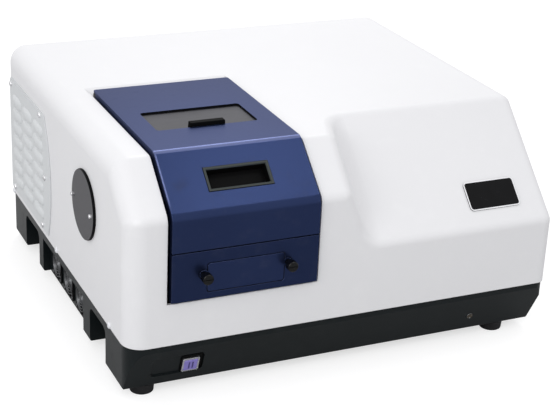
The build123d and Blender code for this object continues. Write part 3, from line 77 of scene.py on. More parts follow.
class Finish:
    """A paint, metal, plastic or glass of this instrument, mixed from shader nodes."""

    def __init__(self, name):
        self.material = bpy.data.materials.new(name)
        self.material.use_nodes = True
        self.tree = self.material.node_tree
        self.tree.nodes.clear()
        self.place = self.add("ShaderNodeTexCoord", {}, {}, "Object")

    def add(self, kind, settings, sockets, result=0):
        made = self.tree.nodes.new(kind)
        for setting, value in settings.items():
            setattr(made, setting, value)
        for name, value in sockets.items():
            if isinstance(value, Channel):
                self.tree.links.new(value.socket, made.inputs[name])
            else:
                made.inputs[name].default_value = value
        return Channel(self, made.outputs[result]) if len(made.outputs) else None

    def noise(self, scale, detail=3.0, stretch=(1.0, 1.0, 1.0)):
        at = self.place
        if stretch != (1.0, 1.0, 1.0):
            at = self.add("ShaderNodeMapping", {}, {"Vector": at, "Scale": stretch})
        return self.add("ShaderNodeTexNoise", {}, {"Vector": at, "Scale": scale, "Detail": detail}, "Fac")

    def between(self, value, low, high):
        limits = {"Value": value, "From Min": low, "From Max": high}
        return self.add("ShaderNodeMapRange", {"interpolation_type": "SMOOTHSTEP"}, limits, "Result")

    def tint(self, share, first, second):
        return self.add("ShaderNodeMix", {"data_type": "RGBA"}, {0: share, 6: first, 7: second}, 2)

    def broken_edges(self, radius):
        """The surface's direction, as if each edge had been broken by a small radius."""
        return self.add("ShaderNodeBevel", {"samples": 4}, {"Radius": radius})

    def along_edges(self, radius):
        """1 on the object's edges and 0 on its flats."""
        there = self.add("ShaderNodeNewGeometry", {}, {}, "Normal")
        both = {0: self.broken_edges(radius), 1: there}
        same = self.add("ShaderNodeVectorMath", {"operation": "DOT_PRODUCT"}, both, "Value")
        return self.between(1.0 - same, 0.03, 0.25)

    def relief(self, height, depth, below=None):
        sockets = {"Height": height, "Distance": depth}
        if below:
            sockets["Normal"] = below
        return self.add("ShaderNodeBump", {}, sockets)

    def surface(self, **sockets):
        named = {name.replace("_", " "): value for name, value in sockets.items()}
        shader = self.add("ShaderNodeBsdfPrincipled", {}, named)
        self.add("ShaderNodeOutputMaterial", {}, {"Surface": shader})
        return self.material


def coat(name, colour, rough, grain, grain_depth, edge_wear_and_highlight=0.1, drift=0.06, shine=0.4, edge=0.0006):
    """Sprayed paint: colour drift, a sprayed grain, softened edges painted off the paint's colour (mostly
    lighter) as wear and as a painted highlight, and faint dust.
    """
    paint = Finish(name)
    clouds = paint.noise(9.0, 4.0)
    specks = paint.noise(grain, 2.0)
    dust = paint.between(paint.noise(46.0, 6.0), 0.5, 0.78)
    darker = tuple(part * (1.0 - drift) for part in colour) + (1.0,)
    lighter = tuple(min(part * (1.0 + drift), 1.0) for part in colour) + (1.0,)
    dust_wear_and_highlight = tuple(part + (1.0 - part) * edge_wear_and_highlight for part in colour) + (1.0,)
    shade = paint.tint(clouds, darker, lighter)
    shade = paint.tint(dust * 0.1, shade, dust_wear_and_highlight)
    # Edges painted towards the edge colour: part wear, part painted highlight.
    shade = paint.tint(paint.along_edges(edge) * 0.6, shade, dust_wear_and_highlight)
    return paint.surface(
        Base_Color=shade,
        Roughness=clouds * 0.06 + dust * 0.08 + specks * 0.04 + (rough - 0.06),
        Metallic=0.0,
        Specular_IOR_Level=shine,
        Normal=paint.relief(specks, grain_depth, paint.broken_edges(edge)),
    )


def wear(material, *names):
    """Gives CAD nodes a finish."""
    for name in names:
        nodes[name].data.materials.clear()
        nodes[name].data.materials.append(material)


charcoal = (0.0046, 0.0074, 0.0084)
charcoal_coat = coat("charcoal_powder_coat", charcoal, 0.32, 1500.0, 0.00003, edge_wear_and_highlight=0.03, shine=0.22)
wear(charcoal_coat, "base_tray")

# Feet: four moulded rubber feet, each held by a screw through the tray. The rubber is matt black,
# narrows a little downwards and has a shallow hollow in its tread.


def hold(*pieces):
    """Only these pieces are selected, and the first is the active one."""
    bpy.ops.object.select_all(action="DESELECT")
    for piece in pieces:
        piece.select_set(True)
    bpy.context.view_layer.objects.active = pieces[0]


def bar(name, middle, radius, length, way="Z", sides=64):
    """A round bar about its middle, along X, Y or Z."""
    turn = {"X": (0, math.pi / 2, 0), "Y": (math.pi / 2, 0, 0), "Z": (0, 0, 0)}[way]
    bpy.ops.object.select_all(action="DESELECT")
    bpy.ops.mesh.primitive_cylinder_add(
        vertices=sides, radius=radius, depth=length, location=middle, rotation=turn
    )
    piece = bpy.context.object
    piece.name = name
    bpy.ops.object.transform_apply(location=True, rotation=True, scale=True)
    return piece


def pick(piece, kind, test):
    """Opens a piece for editing, with the faces, edges or points that pass a test selected.

    A face is tested by its middle and normal, an edge by its middle and direction and a point by its place.
    """
    hold(piece)
    bpy.ops.object.mode_set(mode="EDIT")
    bpy.ops.mesh.select_mode(type=kind)
    bpy.ops.mesh.select_all(action="DESELECT")
    mesh = bmesh.from_edit_mesh(piece.data)
    if kind == "FACE":
        found = [face for face in mesh.faces if test(face.calc_center_median(), face.normal)]
    elif kind == "EDGE":
        ends = [(edge, edge.verts[0].co, edge.verts[1].co) for edge in mesh.edges]
        found = [edge for edge, a, b in ends if test((a + b) / 2, (b - a).normalized())]
    else:
        found = [point for point in mesh.verts if test(point.co)]
    for part in found:
        part.select_set(True)
    mesh.select_flush_mode()
    bmesh.update_edit_mesh(piece.data)


def close():
    bpy.ops.object.mode_set(mode="OBJECT")


def faces_down(at, normal):
    return normal.z < -0.9


def round_off(piece, radius, segments, test):
    """Rounds the edges that pass a test."""
    pick(piece, "EDGE", test)
    bpy.ops.mesh.bevel(offset=radius, segments=segments, affect="EDGES")
    close()


def joined(name, *pieces):
    """Several pieces made one."""
    hold(*pieces)
    bpy.ops.object.join()
    piece = bpy.context.object
    piece.name = name
    return piece


def copies(piece, *moves):
    """The piece and a copy of it at each further move, joined into one."""
    made = [piece]
    for move in moves:
        hold(piece)
        bpy.ops.object.duplicate()
        bpy.ops.transform.translate(value=move)
        made.append(bpy.context.object)
    whole = joined(piece.name, *made)
    bpy.ops.object.transform_apply(location=True, rotation=True, scale=True)
    return whole


def fit(piece, material, body, finish_slot, *stands_for):
    """Finishes a piece: smooth where it bends, painted, and riding on its body."""
    hold(piece)
    bpy.ops.object.transform_apply(location=True, rotation=True, scale=True)
    bpy.ops.object.shade_smooth_by_angle(angle=math.radians(32))
    weigh = piece.modifiers.new("weigh", "WEIGHTED_NORMAL")
    weigh.keep_sharp = True
    bpy.ops.object.modifier_apply(modifier="weigh")
    if not piece.data.materials:
        piece.data.materials.append(material)
    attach(piece, body)
    if stands_for:
        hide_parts(*stands_for)


feet_low, feet_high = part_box("feet")
foot_radius = 0.015
foot_height = feet_high.z - feet_low.z
first_foot = Vector((feet_low.x + foot_radius, feet_low.y + foot_radius, foot_height / 2))
foot_columns = feet_high.x - feet_low.x - 2 * foot_radius
foot_rows = feet_high.y - feet_low.y - 2 * foot_radius
foot_taper = 0.93
tread_width = 0.003
tread_hollow = 0.0015
foot = bar("rubber_feet", first_foot, foot_radius, foot_height)
pick(foot, "FACE", faces_down)
bpy.ops.transform.resize(value=(foot_taper, foot_taper, 1.0), center_override=first_foot)
bpy.ops.mesh.inset(thickness=tread_width)
bpy.ops.mesh.inset(thickness=0.0006, depth=-tread_hollow)
close()
round_off(foot, 0.0011, 3, lambda at, way: abs(way.z) < 0.1 and (at - first_foot).xy.length > 0.0135)
foot = copies(foot, (foot_columns, 0, 0), (0, foot_rows, 0), (foot_columns, foot_rows, 0))


def rubber(name, colour, rough):
    """Moulded rubber: matt, with a fine chalky bloom."""
    skin = Finish(name)
    bloom = skin.noise(60.0, 5.0)
    grain = skin.noise(1800.0, 2.0)
    dark = tuple(part * 0.8 for part in colour) + (1.0,)
    chalky = tuple(part * 1.5 + 0.004 for part in colour) + (1.0,)
    return skin.surface(
        Base_Color=skin.tint(skin.between(bloom, 0.3, 0.75), dark, chalky),
        Roughness=bloom * 0.15 + rough,
        Specular_IOR_Level=0.3,
        Normal=skin.relief(grain, 0.00004),
    )


fit(foot, rubber("foot_rubber", (0.006, 0.006, 0.007), 0.6), "instrument", "foot_rubber", "feet")


def metal(name, colour, rough, brushed=(1.0, 1.0, 1.0), depth=0.000012):
    """Bare or plated metal: fine tool marks along one way, and duller patches where it is handled."""
    steel = Finish(name)
    marks = steel.noise(700.0, 3.0, brushed)
    patches = steel.noise(38.0, 4.0)
    dull = tuple(part * 0.82 for part in colour) + (1.0,)
    bright = tuple(min(part * 1.08, 1.0) for part in colour) + (1.0,)
    return steel.surface(
        Base_Color=steel.tint(steel.between(patches, 0.3, 0.7), dull, bright),
        Metallic=1.0,
        Roughness=marks * 0.1 + patches * 0.12 + (rough - 0.1),
        Normal=steel.relief(marks, depth, steel.broken_edges(0.0003)),
    )


zinc_plate = metal("zinc_plated_steel", (0.62, 0.63, 0.64), 0.3)
wear(zinc_plate, "foot_screws", "bench_screws", "event_spring")

# Fans: three 40 mm fans in black plastic behind the tray's left wall. Each has a square guard with
# wire rings and a cross, screwed on at its corners.


def moulded(name, colour, rough, spark=2200.0, spark_depth=0.00002, shine=0.45):
    """Moulded plastic: a fine spark-eroded texture, slow colour drift and softly lit edges."""
    plastic = Finish(name)
    drift = plastic.noise(22.0, 3.0)
    texture = plastic.noise(spark, 2.0)
    dark = tuple(part * 0.86 for part in colour) + (1.0,)
    light = tuple(min(part * 1.12 + 0.001, 1.0) for part in colour) + (1.0,)
    return plastic.surface(
        Base_Color=plastic.tint(drift, dark, light),
        Roughness=drift * 0.08 + texture * 0.06 + (rough - 0.07),
        Specular_IOR_Level=shine,
        Normal=plastic.relief(texture, spark_depth, plastic.broken_edges(0.0003)),
    )


fan_plastic = moulded("fan_plastic", (0.003, 0.003, 0.0035), 0.55, shine=0.08)
wear(fan_plastic, "fan_frames", "fan_rotor_1", "fan_rotor_2", "fan_rotor_3")


def block(name, low, high):
    """A block between two corners."""
    low, high = Vector(low), Vector(high)
    bpy.ops.object.select_all(action="DESELECT")
    bpy.ops.mesh.primitive_cube_add(size=1.0, location=(low + high) / 2, scale=high - low)
    piece = bpy.context.object
    piece.name = name
    bpy.ops.object.transform_apply(location=True, rotation=True, scale=True)
    return piece


def change(piece, kind, **settings):
    """Adds a modifier to a piece and applies it."""
    hold(piece)
    modifier = piece.modifiers.new("work", kind)
    for name, value in settings.items():
        setattr(modifier, name, value)
    bpy.ops.object.modifier_apply(modifier="work")


def soften(piece, width, segments=2, sharper_than=50):
    """Rounds every edge that turns by more than an angle in degrees."""
    limit = math.radians(sharper_than)
    change(piece, "BEVEL", width=width, segments=segments, limit_method="ANGLE", angle_limit=limit)


def cut(piece, cutter):
    """Takes a cutter's shape out of a piece."""
    change(piece, "BOOLEAN", object=cutter, operation="DIFFERENCE", solver="EXACT")
    bpy.data.objects.remove(cutter)


def middle_of(node):
    """The middle of a CAD node's box."""
    low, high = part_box(node)
    return (low + high) / 2


def faces_left(at, normal):
    return normal.x < -0.9


guard_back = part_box("fan_guards")[1].x
guard_half = 0.020
guard_thickness = 0.0021
guard_bore = 0.0188
guard_screw_reach = 0.016
wire_radius = 0.0007
ring_radii = (0.0162, 0.0124, 0.0086, 0.0049)
ring_plane = guard_back - 0.0022
spoke_length = 0.044
hub_radius = 0.0032
hub_thickness = 0.0012
guard_wire = metal("black_nickel_wire", (0.17, 0.174, 0.182), 0.36)
fan_axes = [middle_of("fan_rotor_" + number) for number in "123"]
corner = Vector((0, guard_half, guard_half))
back = Vector((guard_back, fan_axes[0].y, fan_axes[0].z))
middle = Vector((ring_plane, fan_axes[0].y, fan_axes[0].z))
plate = block("fan_guard", back - corner - Vector((guard_thickness, 0, 0)), back + corner)
round_off(plate, 0.0028, 4, lambda at, way: abs(way.x) > 0.9)
cut(plate, bar("bore", back, guard_bore, 0.02, "X", 72))
soften(plate, 0.00045, sharper_than=40)
plate.data.materials.append(fan_plastic)
wires = []
for radius in ring_radii:
    bpy.ops.object.select_all(action="DESELECT")
    bpy.ops.mesh.primitive_torus_add(
        major_radius=radius,
        minor_radius=wire_radius,
        major_segments=56,
        minor_segments=8,
        location=middle,
        rotation=(0, math.pi / 2, 0),
    )
    wires.append(bpy.context.object)
for turn in (45, 135):
    spoke = bar("spoke", middle + Vector((wire_radius, 0, 0)), wire_radius, spoke_length, "Y", 10)
    pick(spoke, "FACE", lambda at, normal: True)
    bpy.ops.transform.rotate(value=math.radians(turn), orient_axis="X", center_override=middle)
    close()
    wires.append(spoke)
hub = bar("hub", middle, hub_radius, hub_thickness, "X", 32)
pick(hub, "FACE", faces_left)
bpy.ops.mesh.inset(thickness=0.0008, depth=0.0003)
close()
wires.append(hub)
for side in (-guard_screw_reach, guard_screw_reach):
    for rise in (-guard_screw_reach, guard_screw_reach):
        head = bar("guard_screw", middle + Vector((-0.00005, side, rise)), 0.0021, 0.0012, "X", 20)
        pick(head, "FACE", faces_left)
        bpy.ops.mesh.inset(thickness=0.0006, depth=0.0002)
        bpy.ops.mesh.inset(thickness=0.0005, depth=-0.0004)
        close()
        wires.append(head)
for wire in wires:
    wire.data.materials.append(guard_wire)
guard = joined("wire_guards", plate, *wires)
guard = copies(guard, *[(0, axis.y - back.y, axis.z - back.z) for axis in fan_axes[1:]])
fit(guard, guard_wire, "instrument", "black_plastic", "fan_guards")

# Optical bench, with the lamp house, the detector's box and two monochromators on it: cast and
# machined aluminium, on posts in the tray. The monochromators are blackened against stray light.
cast_aluminium = metal("cast_aluminium", (0.56, 0.57, 0.58), 0.5, depth=0.00004)
black_anodised = moulded("black_anodised_aluminium", (0.014, 0.014, 0.016), 0.38, 2600.0, 0.00001)
wear(cast_aluminium, "optical_bench", "lamp_house", "pmt_housing", "ex_turntable", "em_turntable")
wear(black_anodised, "ex_monochromator", "em_monochromator", "grating_motors", "lamp_socket", "cell_holder")

# Gratings and mirrors: glass blanks with an aluminium film. The gratings' fine lines run upright
# and the mirrors are polished.


def mirror_film(name, lines):
    film = Finish(name)
    haze = film.noise(70.0, 4.0)
    ruled = film.noise(900.0, 1.0, (1.0, 1.0, 0.02) if lines else (1.0, 1.0, 1.0))
    return film.surface(
        Base_Color=film.tint(haze, (0.80, 0.82, 0.85, 1.0), (0.90, 0.91, 0.92, 1.0)),
        Metallic=1.0,
        Roughness=haze * 0.06 + ruled * (0.1 if lines else 0.02) + 0.02,
        Normal=film.relief(ruled, 0.000006 if lines else 0.000001),
    )


wear(mirror_film("ruled_grating_film", True), "ex_grating", "em_grating")
wear(mirror_film("polished_mirror_film", False), "mirrors", "lamp_reflector")

# Lamp, detector and lenses: blown quartz and ground glass, clear with a slight cool tint. The lamp
# stands in its socket, the detector in its box, and the lenses sit in the chamber's walls.


def glass(name, colour, rough):
    pane = Finish(name)
    ripple = pane.noise(45.0, 2.0)
    tinted = tuple(part * 0.95 for part in colour) + (1.0,)
    return pane.surface(
        Base_Color=pane.tint(ripple, tinted, colour + (1.0,)),
        Roughness=ripple * 0.03 + rough,
        Transmission_Weight=0.85,
        IOR=1.5,
        Normal=pane.relief(ripple, 0.00002),
    )


wear(glass("quartz_glass", (0.90, 0.95, 0.97), 0.03), "xenon_lamp", "pmt_tube", "chamber_lenses")

# Electronics: a green circuit board, and two supplies in folded steel boxes. The board's solder mask
# shows its copper tracks as faint lighter bands.
board = Finish("green_solder_mask")
tracks = board.between(board.noise(420.0, 1.0, (1.0, 0.12, 1.0)), 0.52, 0.56)
mask = board.tint(board.noise(30.0, 3.0), (0.008, 0.085, 0.03, 1.0), (0.012, 0.11, 0.04, 1.0))
mask = board.tint(tracks * 0.5, mask, (0.03, 0.2, 0.08, 1.0))
board.surface(
    Base_Color=mask,
    Roughness=tracks * 0.1 + 0.3,
    Coat_Weight=0.3,
    Normal=board.relief(tracks, 0.00004, board.broken_edges(0.0003)),
)
wear(board.material, "control_board")
folded_steel = metal("folded_zinc_sheet", (0.58, 0.6, 0.61), 0.36, (1.0, 0.08, 1.0))
wear(folded_steel, "power_supply", "lamp_supply")

# Sample chamber: a folded tub in matt black, with a cell holder on its floor, two lenses in its
# walls and a foam seal round its rim that the lid presses on.
matt_black = (0.008, 0.008, 0.009)
chamber_black = coat("chamber_matt_black", matt_black, 0.7, 1300.0, 0.00006, edge_wear_and_highlight=0.03, shine=0.25)
wear(chamber_black, "sample_chamber")
foam = Finish("seal_foam")
cells = foam.add("ShaderNodeTexVoronoi", {}, {"Vector": foam.place, "Scale": 1600.0}, "Distance")
foam.surface(
    Base_Color=foam.tint(cells, (0.006, 0.006, 0.007, 1.0), (0.035, 0.035, 0.037, 1.0)),
    Roughness=cells * 0.1 + 0.85,
    Specular_IOR_Level=0.15,
    Normal=foam.relief(cells, 0.0003),
)
wear(foam.material, "chamber_seal")

# Cover: one formed shell in near-white satin paint, with a faint orange peel and a breath of dust
# where it is rarely wiped. It drops over the base and is held by screws along its lower edge.
near_white = (0.80, 0.80, 0.813)
# Its edges are painted much lighter than its faces: a painted highlight along them.
white_paint = coat(
    "white_satin_paint", near_white, 0.4, 420.0, 0.00004, edge_wear_and_highlight=0.6, drift=0.012, shine=0.45, edge=0.0009
)
wear(white_paint, "housing_cover")

# Cover screws: white domed heads with a cross recess, eight along the cover's lower edge, each
# into a tab of the tray.


def extrude(*way):
    bpy.ops.mesh.extrude_region_move(TRANSFORM_OT_translate={"value": way})


def screw(name, head_radius, head_height, shank_radius, shank_length, recess):
    """A domed screw that stands on the bench: its head is above z = 0 and its shank below."""
    head = bar(name, (0, 0, head_height / 2), head_radius, head_height, "Z", 40)
    round_off(head, head_height * 0.82, 6, lambda at, way: at.z > head_height * 0.9 and abs(way.z) < 0.1)
    pick(head, "FACE", faces_down)
    bpy.ops.mesh.inset(thickness=head_radius - shank_radius)
    extrude(0, 0, -shank_length)
    close()
    for long_way in ((1.0, 0.24), (0.24, 1.0)):
        reach = Vector((long_way[0] * recess, long_way[1] * recess, 0))
        low = Vector((0, 0, head_height * 0.45))
        cut(head, block("recess", low - reach, Vector((0, 0, head_height * 2)) + reach))
    return head


def screwed_in(name, pattern, spots):
    """A copy of an upright screw at each spot, turned to face out of its wall, joined into one."""
    made = []
    for at, out in spots:
        hold(pattern)
        bpy.ops.object.duplicate()
        twin = bpy.context.object
        twin.rotation_euler = Vector((0, 0, 1)).rotation_difference(Vector(out)).to_euler()
        twin.location = at
        bpy.ops.object.transform_apply(location=True, rotation=True, scale=True)
        made.append(twin)
    bpy.data.objects.remove(pattern)
    return joined(name, *made)


cover_low, cover_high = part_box("housing_cover")
screw_height = cover_low.z + 0.0035
side_places = (-0.18728, 0.03072, 0.24072)
back_places = (-0.15755, 0.16245)
leftwards = (-1, 0, 0)
screw_spots = [((cover_low.x, y, screw_height), leftwards) for y in side_places]
screw_spots += [((cover_high.x, y, screw_height), (1, 0, 0)) for y in side_places]
screw_spots += [((x, cover_high.y, screw_height), (0, 1, 0)) for x in back_places]
cover_screw = screw(
    "cover_screw",
    head_radius=0.004,
    head_height=0.0024,
    shank_radius=0.0017,
    shank_length=0.0103,
    recess=0.0018,
)
cover_screws = screwed_in("cover_fixing_screws", cover_screw, screw_spots)
screw_paint = (0.82, 0.83, 0.86)
white_screw = coat(
    "white_painted_screw", screw_paint, 0.25, 900.0, 0.00001, edge_wear_and_highlight=-0.1, drift=0.02, edge=0.0002
)
fit(cover_screws, white_screw, "instrument", "screw_white", "cover_screws")

# Vent cover: a thin painted plate with a bowed front edge and rows of pressed louvres, open below.
# Five small screws hold it over the hole in the left wall.
vent_low, vent_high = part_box("vent_cover")
vent_thickness = 0.0018
vent_face = vent_high.x - vent_thickness
vent_front = 0.0525
bow_middle = (vent_high.x, 0.22763, 0.14952)
bow_radius = 0.1753
vent = block("vent_plate", (vent_face, vent_front, vent_low.z), vent_high)
bow = bar("bow", bow_middle, bow_radius, 0.02, "X", 160)
change(vent, "BOOLEAN", object=bow, operation="INTERSECT", solver="EXACT")
bpy.data.objects.remove(bow)
round_off(vent, 0.008, 8, lambda at, way: abs(way.x) > 0.9 and at.y > vent_high.y - 0.001)
louvre_rows = 7
louvre_columns = 3
louvre_pitch = 0.019
louvre_spacing = 0.052
louvre_wall = 0.0009
louvre_half = Vector((0.0043, 0.0212, 0.0081))
slot_half = Vector((0.01, 0.0125, 0.003))
first_louvre = Vector((vent_face, 0.10471, 0.102))
louvre_middle = first_louvre - Vector((0, 0, 0.0003))
louvre_root = first_louvre + Vector((0.0002, 0, 0))
louvre_mouth = first_louvre - Vector((0, 0, 0.0055))
slot_middle = first_louvre + Vector((0, 0, 0.001))
row_moves = [(0, 0, row * louvre_pitch) for row in range(1, louvre_rows)]
column_moves = [(0, column * louvre_spacing, 0) for column in range(1, louvre_columns)]
slots = block("slots", slot_middle - slot_half, slot_middle + slot_half)
slots = copies(copies(slots, *row_moves), *column_moves)
cut(vent, slots)
soften(vent, 0.0005)
louvre = block("louvre", louvre_middle - louvre_half, louvre_middle + louvre_half)
change(louvre, "BEVEL", width=0.0042, segments=1, limit_method="NONE")
change(louvre, "SUBSURF", levels=2, render_levels=2)
pick(louvre, "FACE", lambda at, normal: True)
bpy.ops.mesh.bisect(plane_co=louvre_root, plane_no=(1, 0, 0), clear_outer=True)
bpy.ops.mesh.select_all(action="SELECT")
bpy.ops.mesh.bisect(plane_co=louvre_mouth, plane_no=(0, 0, -1), clear_outer=True)
close()
change(louvre, "SOLIDIFY", thickness=louvre_wall, offset=-1.0)
louvre = copies(copies(louvre, *row_moves), *column_moves)
vent = joined("vent_plate", vent, louvre)
vent_grey = (0.665, 0.685, 0.695)
# Its edges are painted lighter: a painted highlight round the plate and its louvres.
vent_paint = coat(
    "pale_vent_paint", vent_grey, 0.36, 480.0, 0.00004, edge_wear_and_highlight=0.15, drift=0.015, shine=0.5, edge=0.0004
)
fit(vent, vent_paint, "instrument", "cover_paint", "vent_cover")
vent_screw = screw(
    "vent_screw",
    head_radius=0.0038,
    head_height=0.0022,
    shank_radius=0.0015,
    shank_length=0.006,
    recess=0.0011,
)
vent_spots = ((0.23971, 0.233), (0.09471, 0.237), (0.07671, 0.1575), (0.22871, 0.086), (0.08971, 0.0865))
vent_spots = [((vent_face, y, z), leftwards) for y, z in vent_spots]
vent_screws = screwed_in("vent_fixing_screws", vent_screw, vent_spots)
bright_screw = metal("bright_nickel_screw", (0.88, 0.88, 0.9), 0.3)
fit(vent_screws, bright_screw, "instrument", "steel", "vent_cover_screws")

# Round port cover: a grey anodised disc on a thicker black ring, over the port in the left wall,
# with a slotted screw at each side.
ring_low, ring_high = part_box("port_ring")
port_middle = middle_of("port_ring")
port_radius = 0.043
port_bore = 0.031
ring = bar("port_ring_black", port_middle, port_radius, ring_high.x - ring_low.x, "X", 128)
cut(ring, bar("bore", port_middle, port_bore, 0.02, "X", 96))
round_off(ring, 0.0004, 3, lambda at, way: abs(way.x) < 0.1 and (at - port_middle).yz.length > 0.03)
ring_black = moulded("port_ring_plastic", (0.002, 0.002, 0.0025), 0.5, shine=0.08)
fit(ring, ring_black, "instrument", "black_plastic", "port_ring")
disc_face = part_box("port_disc")[0].x
disc_thickness = 0.0008
disc = bar("port_cover_disc", middle_of("port_disc"), port_radius - 0.0005, disc_thickness, "X", 128)
pick(disc, "FACE", faces_left)
bpy.ops.mesh.inset(thickness=0.00035, depth=0.00012)
bpy.ops.mesh.inset(thickness=0.0012, depth=-0.00008)
close()
spun = Finish("grey_anodised_disc")
satin = spun.noise(30.0, 3.0)
turning = spun.noise(1500.0, 2.0, (1.0, 0.35, 1.0))
spun.surface(
    Base_Color=spun.tint(satin, (0.068, 0.067, 0.074, 1.0), (0.084, 0.083, 0.091, 1.0)),
    Metallic=0.35,
    Roughness=turning * 0.12 + satin * 0.05 + 0.36,
    Specular_IOR_Level=0.4,
    Normal=spun.relief(turning, 0.00001, spun.broken_edges(0.0004)),
)


def two_finishes(piece, most, rest, test):
    """Gives a piece one finish, and the faces that pass a test another."""
    piece.data.materials.append(most)
    piece.data.materials.append(rest)
    pick(piece, "FACE", test)
    piece.active_material_index = 1
    bpy.ops.object.material_slot_assign()
    close()


two_finishes(disc, spun.material, ring_black, lambda at, normal: abs(normal.x) < 0.3)
fit(disc, spun.material, "instrument", "disc_grey", "port_disc")
port_screw_radius = 0.0026
port_screw_height = 0.0034
port_screw_reach = 0.036
port_screw = bar("port_screw", (0, 0, port_screw_height / 2), port_screw_radius, port_screw_height, "Z", 32)
round_off(port_screw, 0.0011, 5, lambda at, way: at.z > 0.0025 and abs(way.z) < 0.1)
pick(port_screw, "FACE", faces_down)
bpy.ops.mesh.inset(thickness=0.0008)
extrude(0, 0, -0.0066)
close()
cut(port_screw, block("screw_slot", (-0.003, -0.00035, 0.0018), (0.003, 0.00035, 0.004)))
port_sides = (port_middle.y - port_screw_reach, port_middle.y + port_screw_reach)
port_spots = [((disc_face, y, port_middle.z), leftwards) for y in port_sides]
port_screws = screwed_in("port_cover_screws", port_screw, port_spots)
fit(port_screws, bright_screw, "instrument", "chrome", "port_screws")

# Badge plate: a blank black plate with round corners and a pale raised rim, bonded to the cover's
# slope at the right.
badge_width = 0.0715
badge_height = 0.0385
badge_thickness = 0.0012
slope_rise, slope_run = 0.121, 0.124
badge_pitch = math.atan2(slope_rise, slope_run)
badge_corner = Vector((badge_width / 2, badge_height / 2, 0))
badge = block("blank_badge", -badge_corner, badge_corner + Vector((0, 0, badge_thickness)))


def upright(at, way):
    return abs(way.z) > 0.9


def faces_up(at, normal):
    return normal.z > 0.9


round_off(badge, 0.005, 8, upright)
pick(badge, "FACE", faces_up)
bpy.ops.mesh.inset(thickness=0.0004, depth=0.0)
bpy.ops.mesh.inset(thickness=0.0012)
bpy.ops.mesh.inset(thickness=0.0002, depth=-0.0002)
close()
rim_paint = moulded("badge_rim_silver", (0.86, 0.86, 0.88), 0.3)
badge_film = Finish("badge_black_gloss")
haze = badge_film.noise(80.0, 4.0)
badge_film.surface(
    Base_Color=badge_film.tint(haze, (0.0035, 0.0035, 0.004, 1.0), (0.006, 0.006, 0.007, 1.0)),
    Roughness=haze * 0.08 + 0.22,
    Specular_IOR_Level=0.1,
    Normal=badge_film.relief(haze, 0.00001),
)


def badge_rim(at, normal):
    """Every face of the front but the field in its middle."""
    return normal.z > 0.9 and at.xy.length > 0.001


two_finishes(badge, badge_film.material, rim_paint, badge_rim)
badge.rotation_euler = (badge_pitch, 0, 0)
lift = Vector((0, -math.sin(badge_pitch), math.cos(badge_pitch))) * badge_thickness / 2
badge.location = middle_of("badge_plate") - lift
fit(badge, badge_film.material, "instrument", "badge_black", "badge_plate")

# Lid, and the fixed panel under it with its access plate: folded aluminium sheet in dark blue
# metallic paint. The lid is bent twice over a soft radius, has turned-in sides, and swings on a
# blackened hinge at its back edge.


def copy_of(name, node):
    """A merged copy of a CAD node's mesh, with its flat faces whole again."""
    piece = bpy.data.objects.new(name, nodes[node].data.copy())
    bpy.context.scene.collection.objects.link(piece)
    piece.data.materials.clear()
    hold(piece)
    bpy.ops.mesh.customdata_custom_splitnormals_clear()
    bpy.ops.object.mode_set(mode="EDIT")
    bpy.ops.mesh.select_all(action="SELECT")
    bpy.ops.mesh.remove_doubles(threshold=0.000002)
    bpy.ops.mesh.dissolve_limited(angle_limit=math.radians(0.6))
    close()
    return piece


def bend(piece, radius, low, high):
    """Rounds the sheet's bends along X that lie between two heights."""
    hold(piece)
    bpy.ops.object.mode_set(mode="EDIT")
    bpy.ops.mesh.select_mode(type="EDGE")
    bpy.ops.mesh.select_all(action="DESELECT")
    mesh = bmesh.from_edit_mesh(piece.data)
    for edge in mesh.edges:
        middle = (edge.verts[0].co + edge.verts[1].co) / 2
        way = (edge.verts[1].co - edge.verts[0].co).normalized()
        if abs(way.x) > 0.99 and low < middle.z < high and len(edge.link_faces) == 2:
            turn = edge.calc_face_angle()
            edge.select_set(math.radians(20) < turn < math.radians(65))
    bmesh.update_edit_mesh(piece.data)
    bpy.ops.mesh.bevel(offset=radius, segments=10, affect="EDGES")
    close()


lid = copy_of("blue_lid", "lid_shell")
bend(lid, 0.003, 0.27, 0.30)
bend(lid, 0.0065, 0.22, 0.25)
round_off(lid, 0.0035, 6, lambda at, way: abs(way.z) > 0.99 and at.y > 0.03)
soften(lid, 0.0008, 3)
upper_bend = Vector((-0.2266, -0.1911, 0.286))
blue_edge = 0.0006


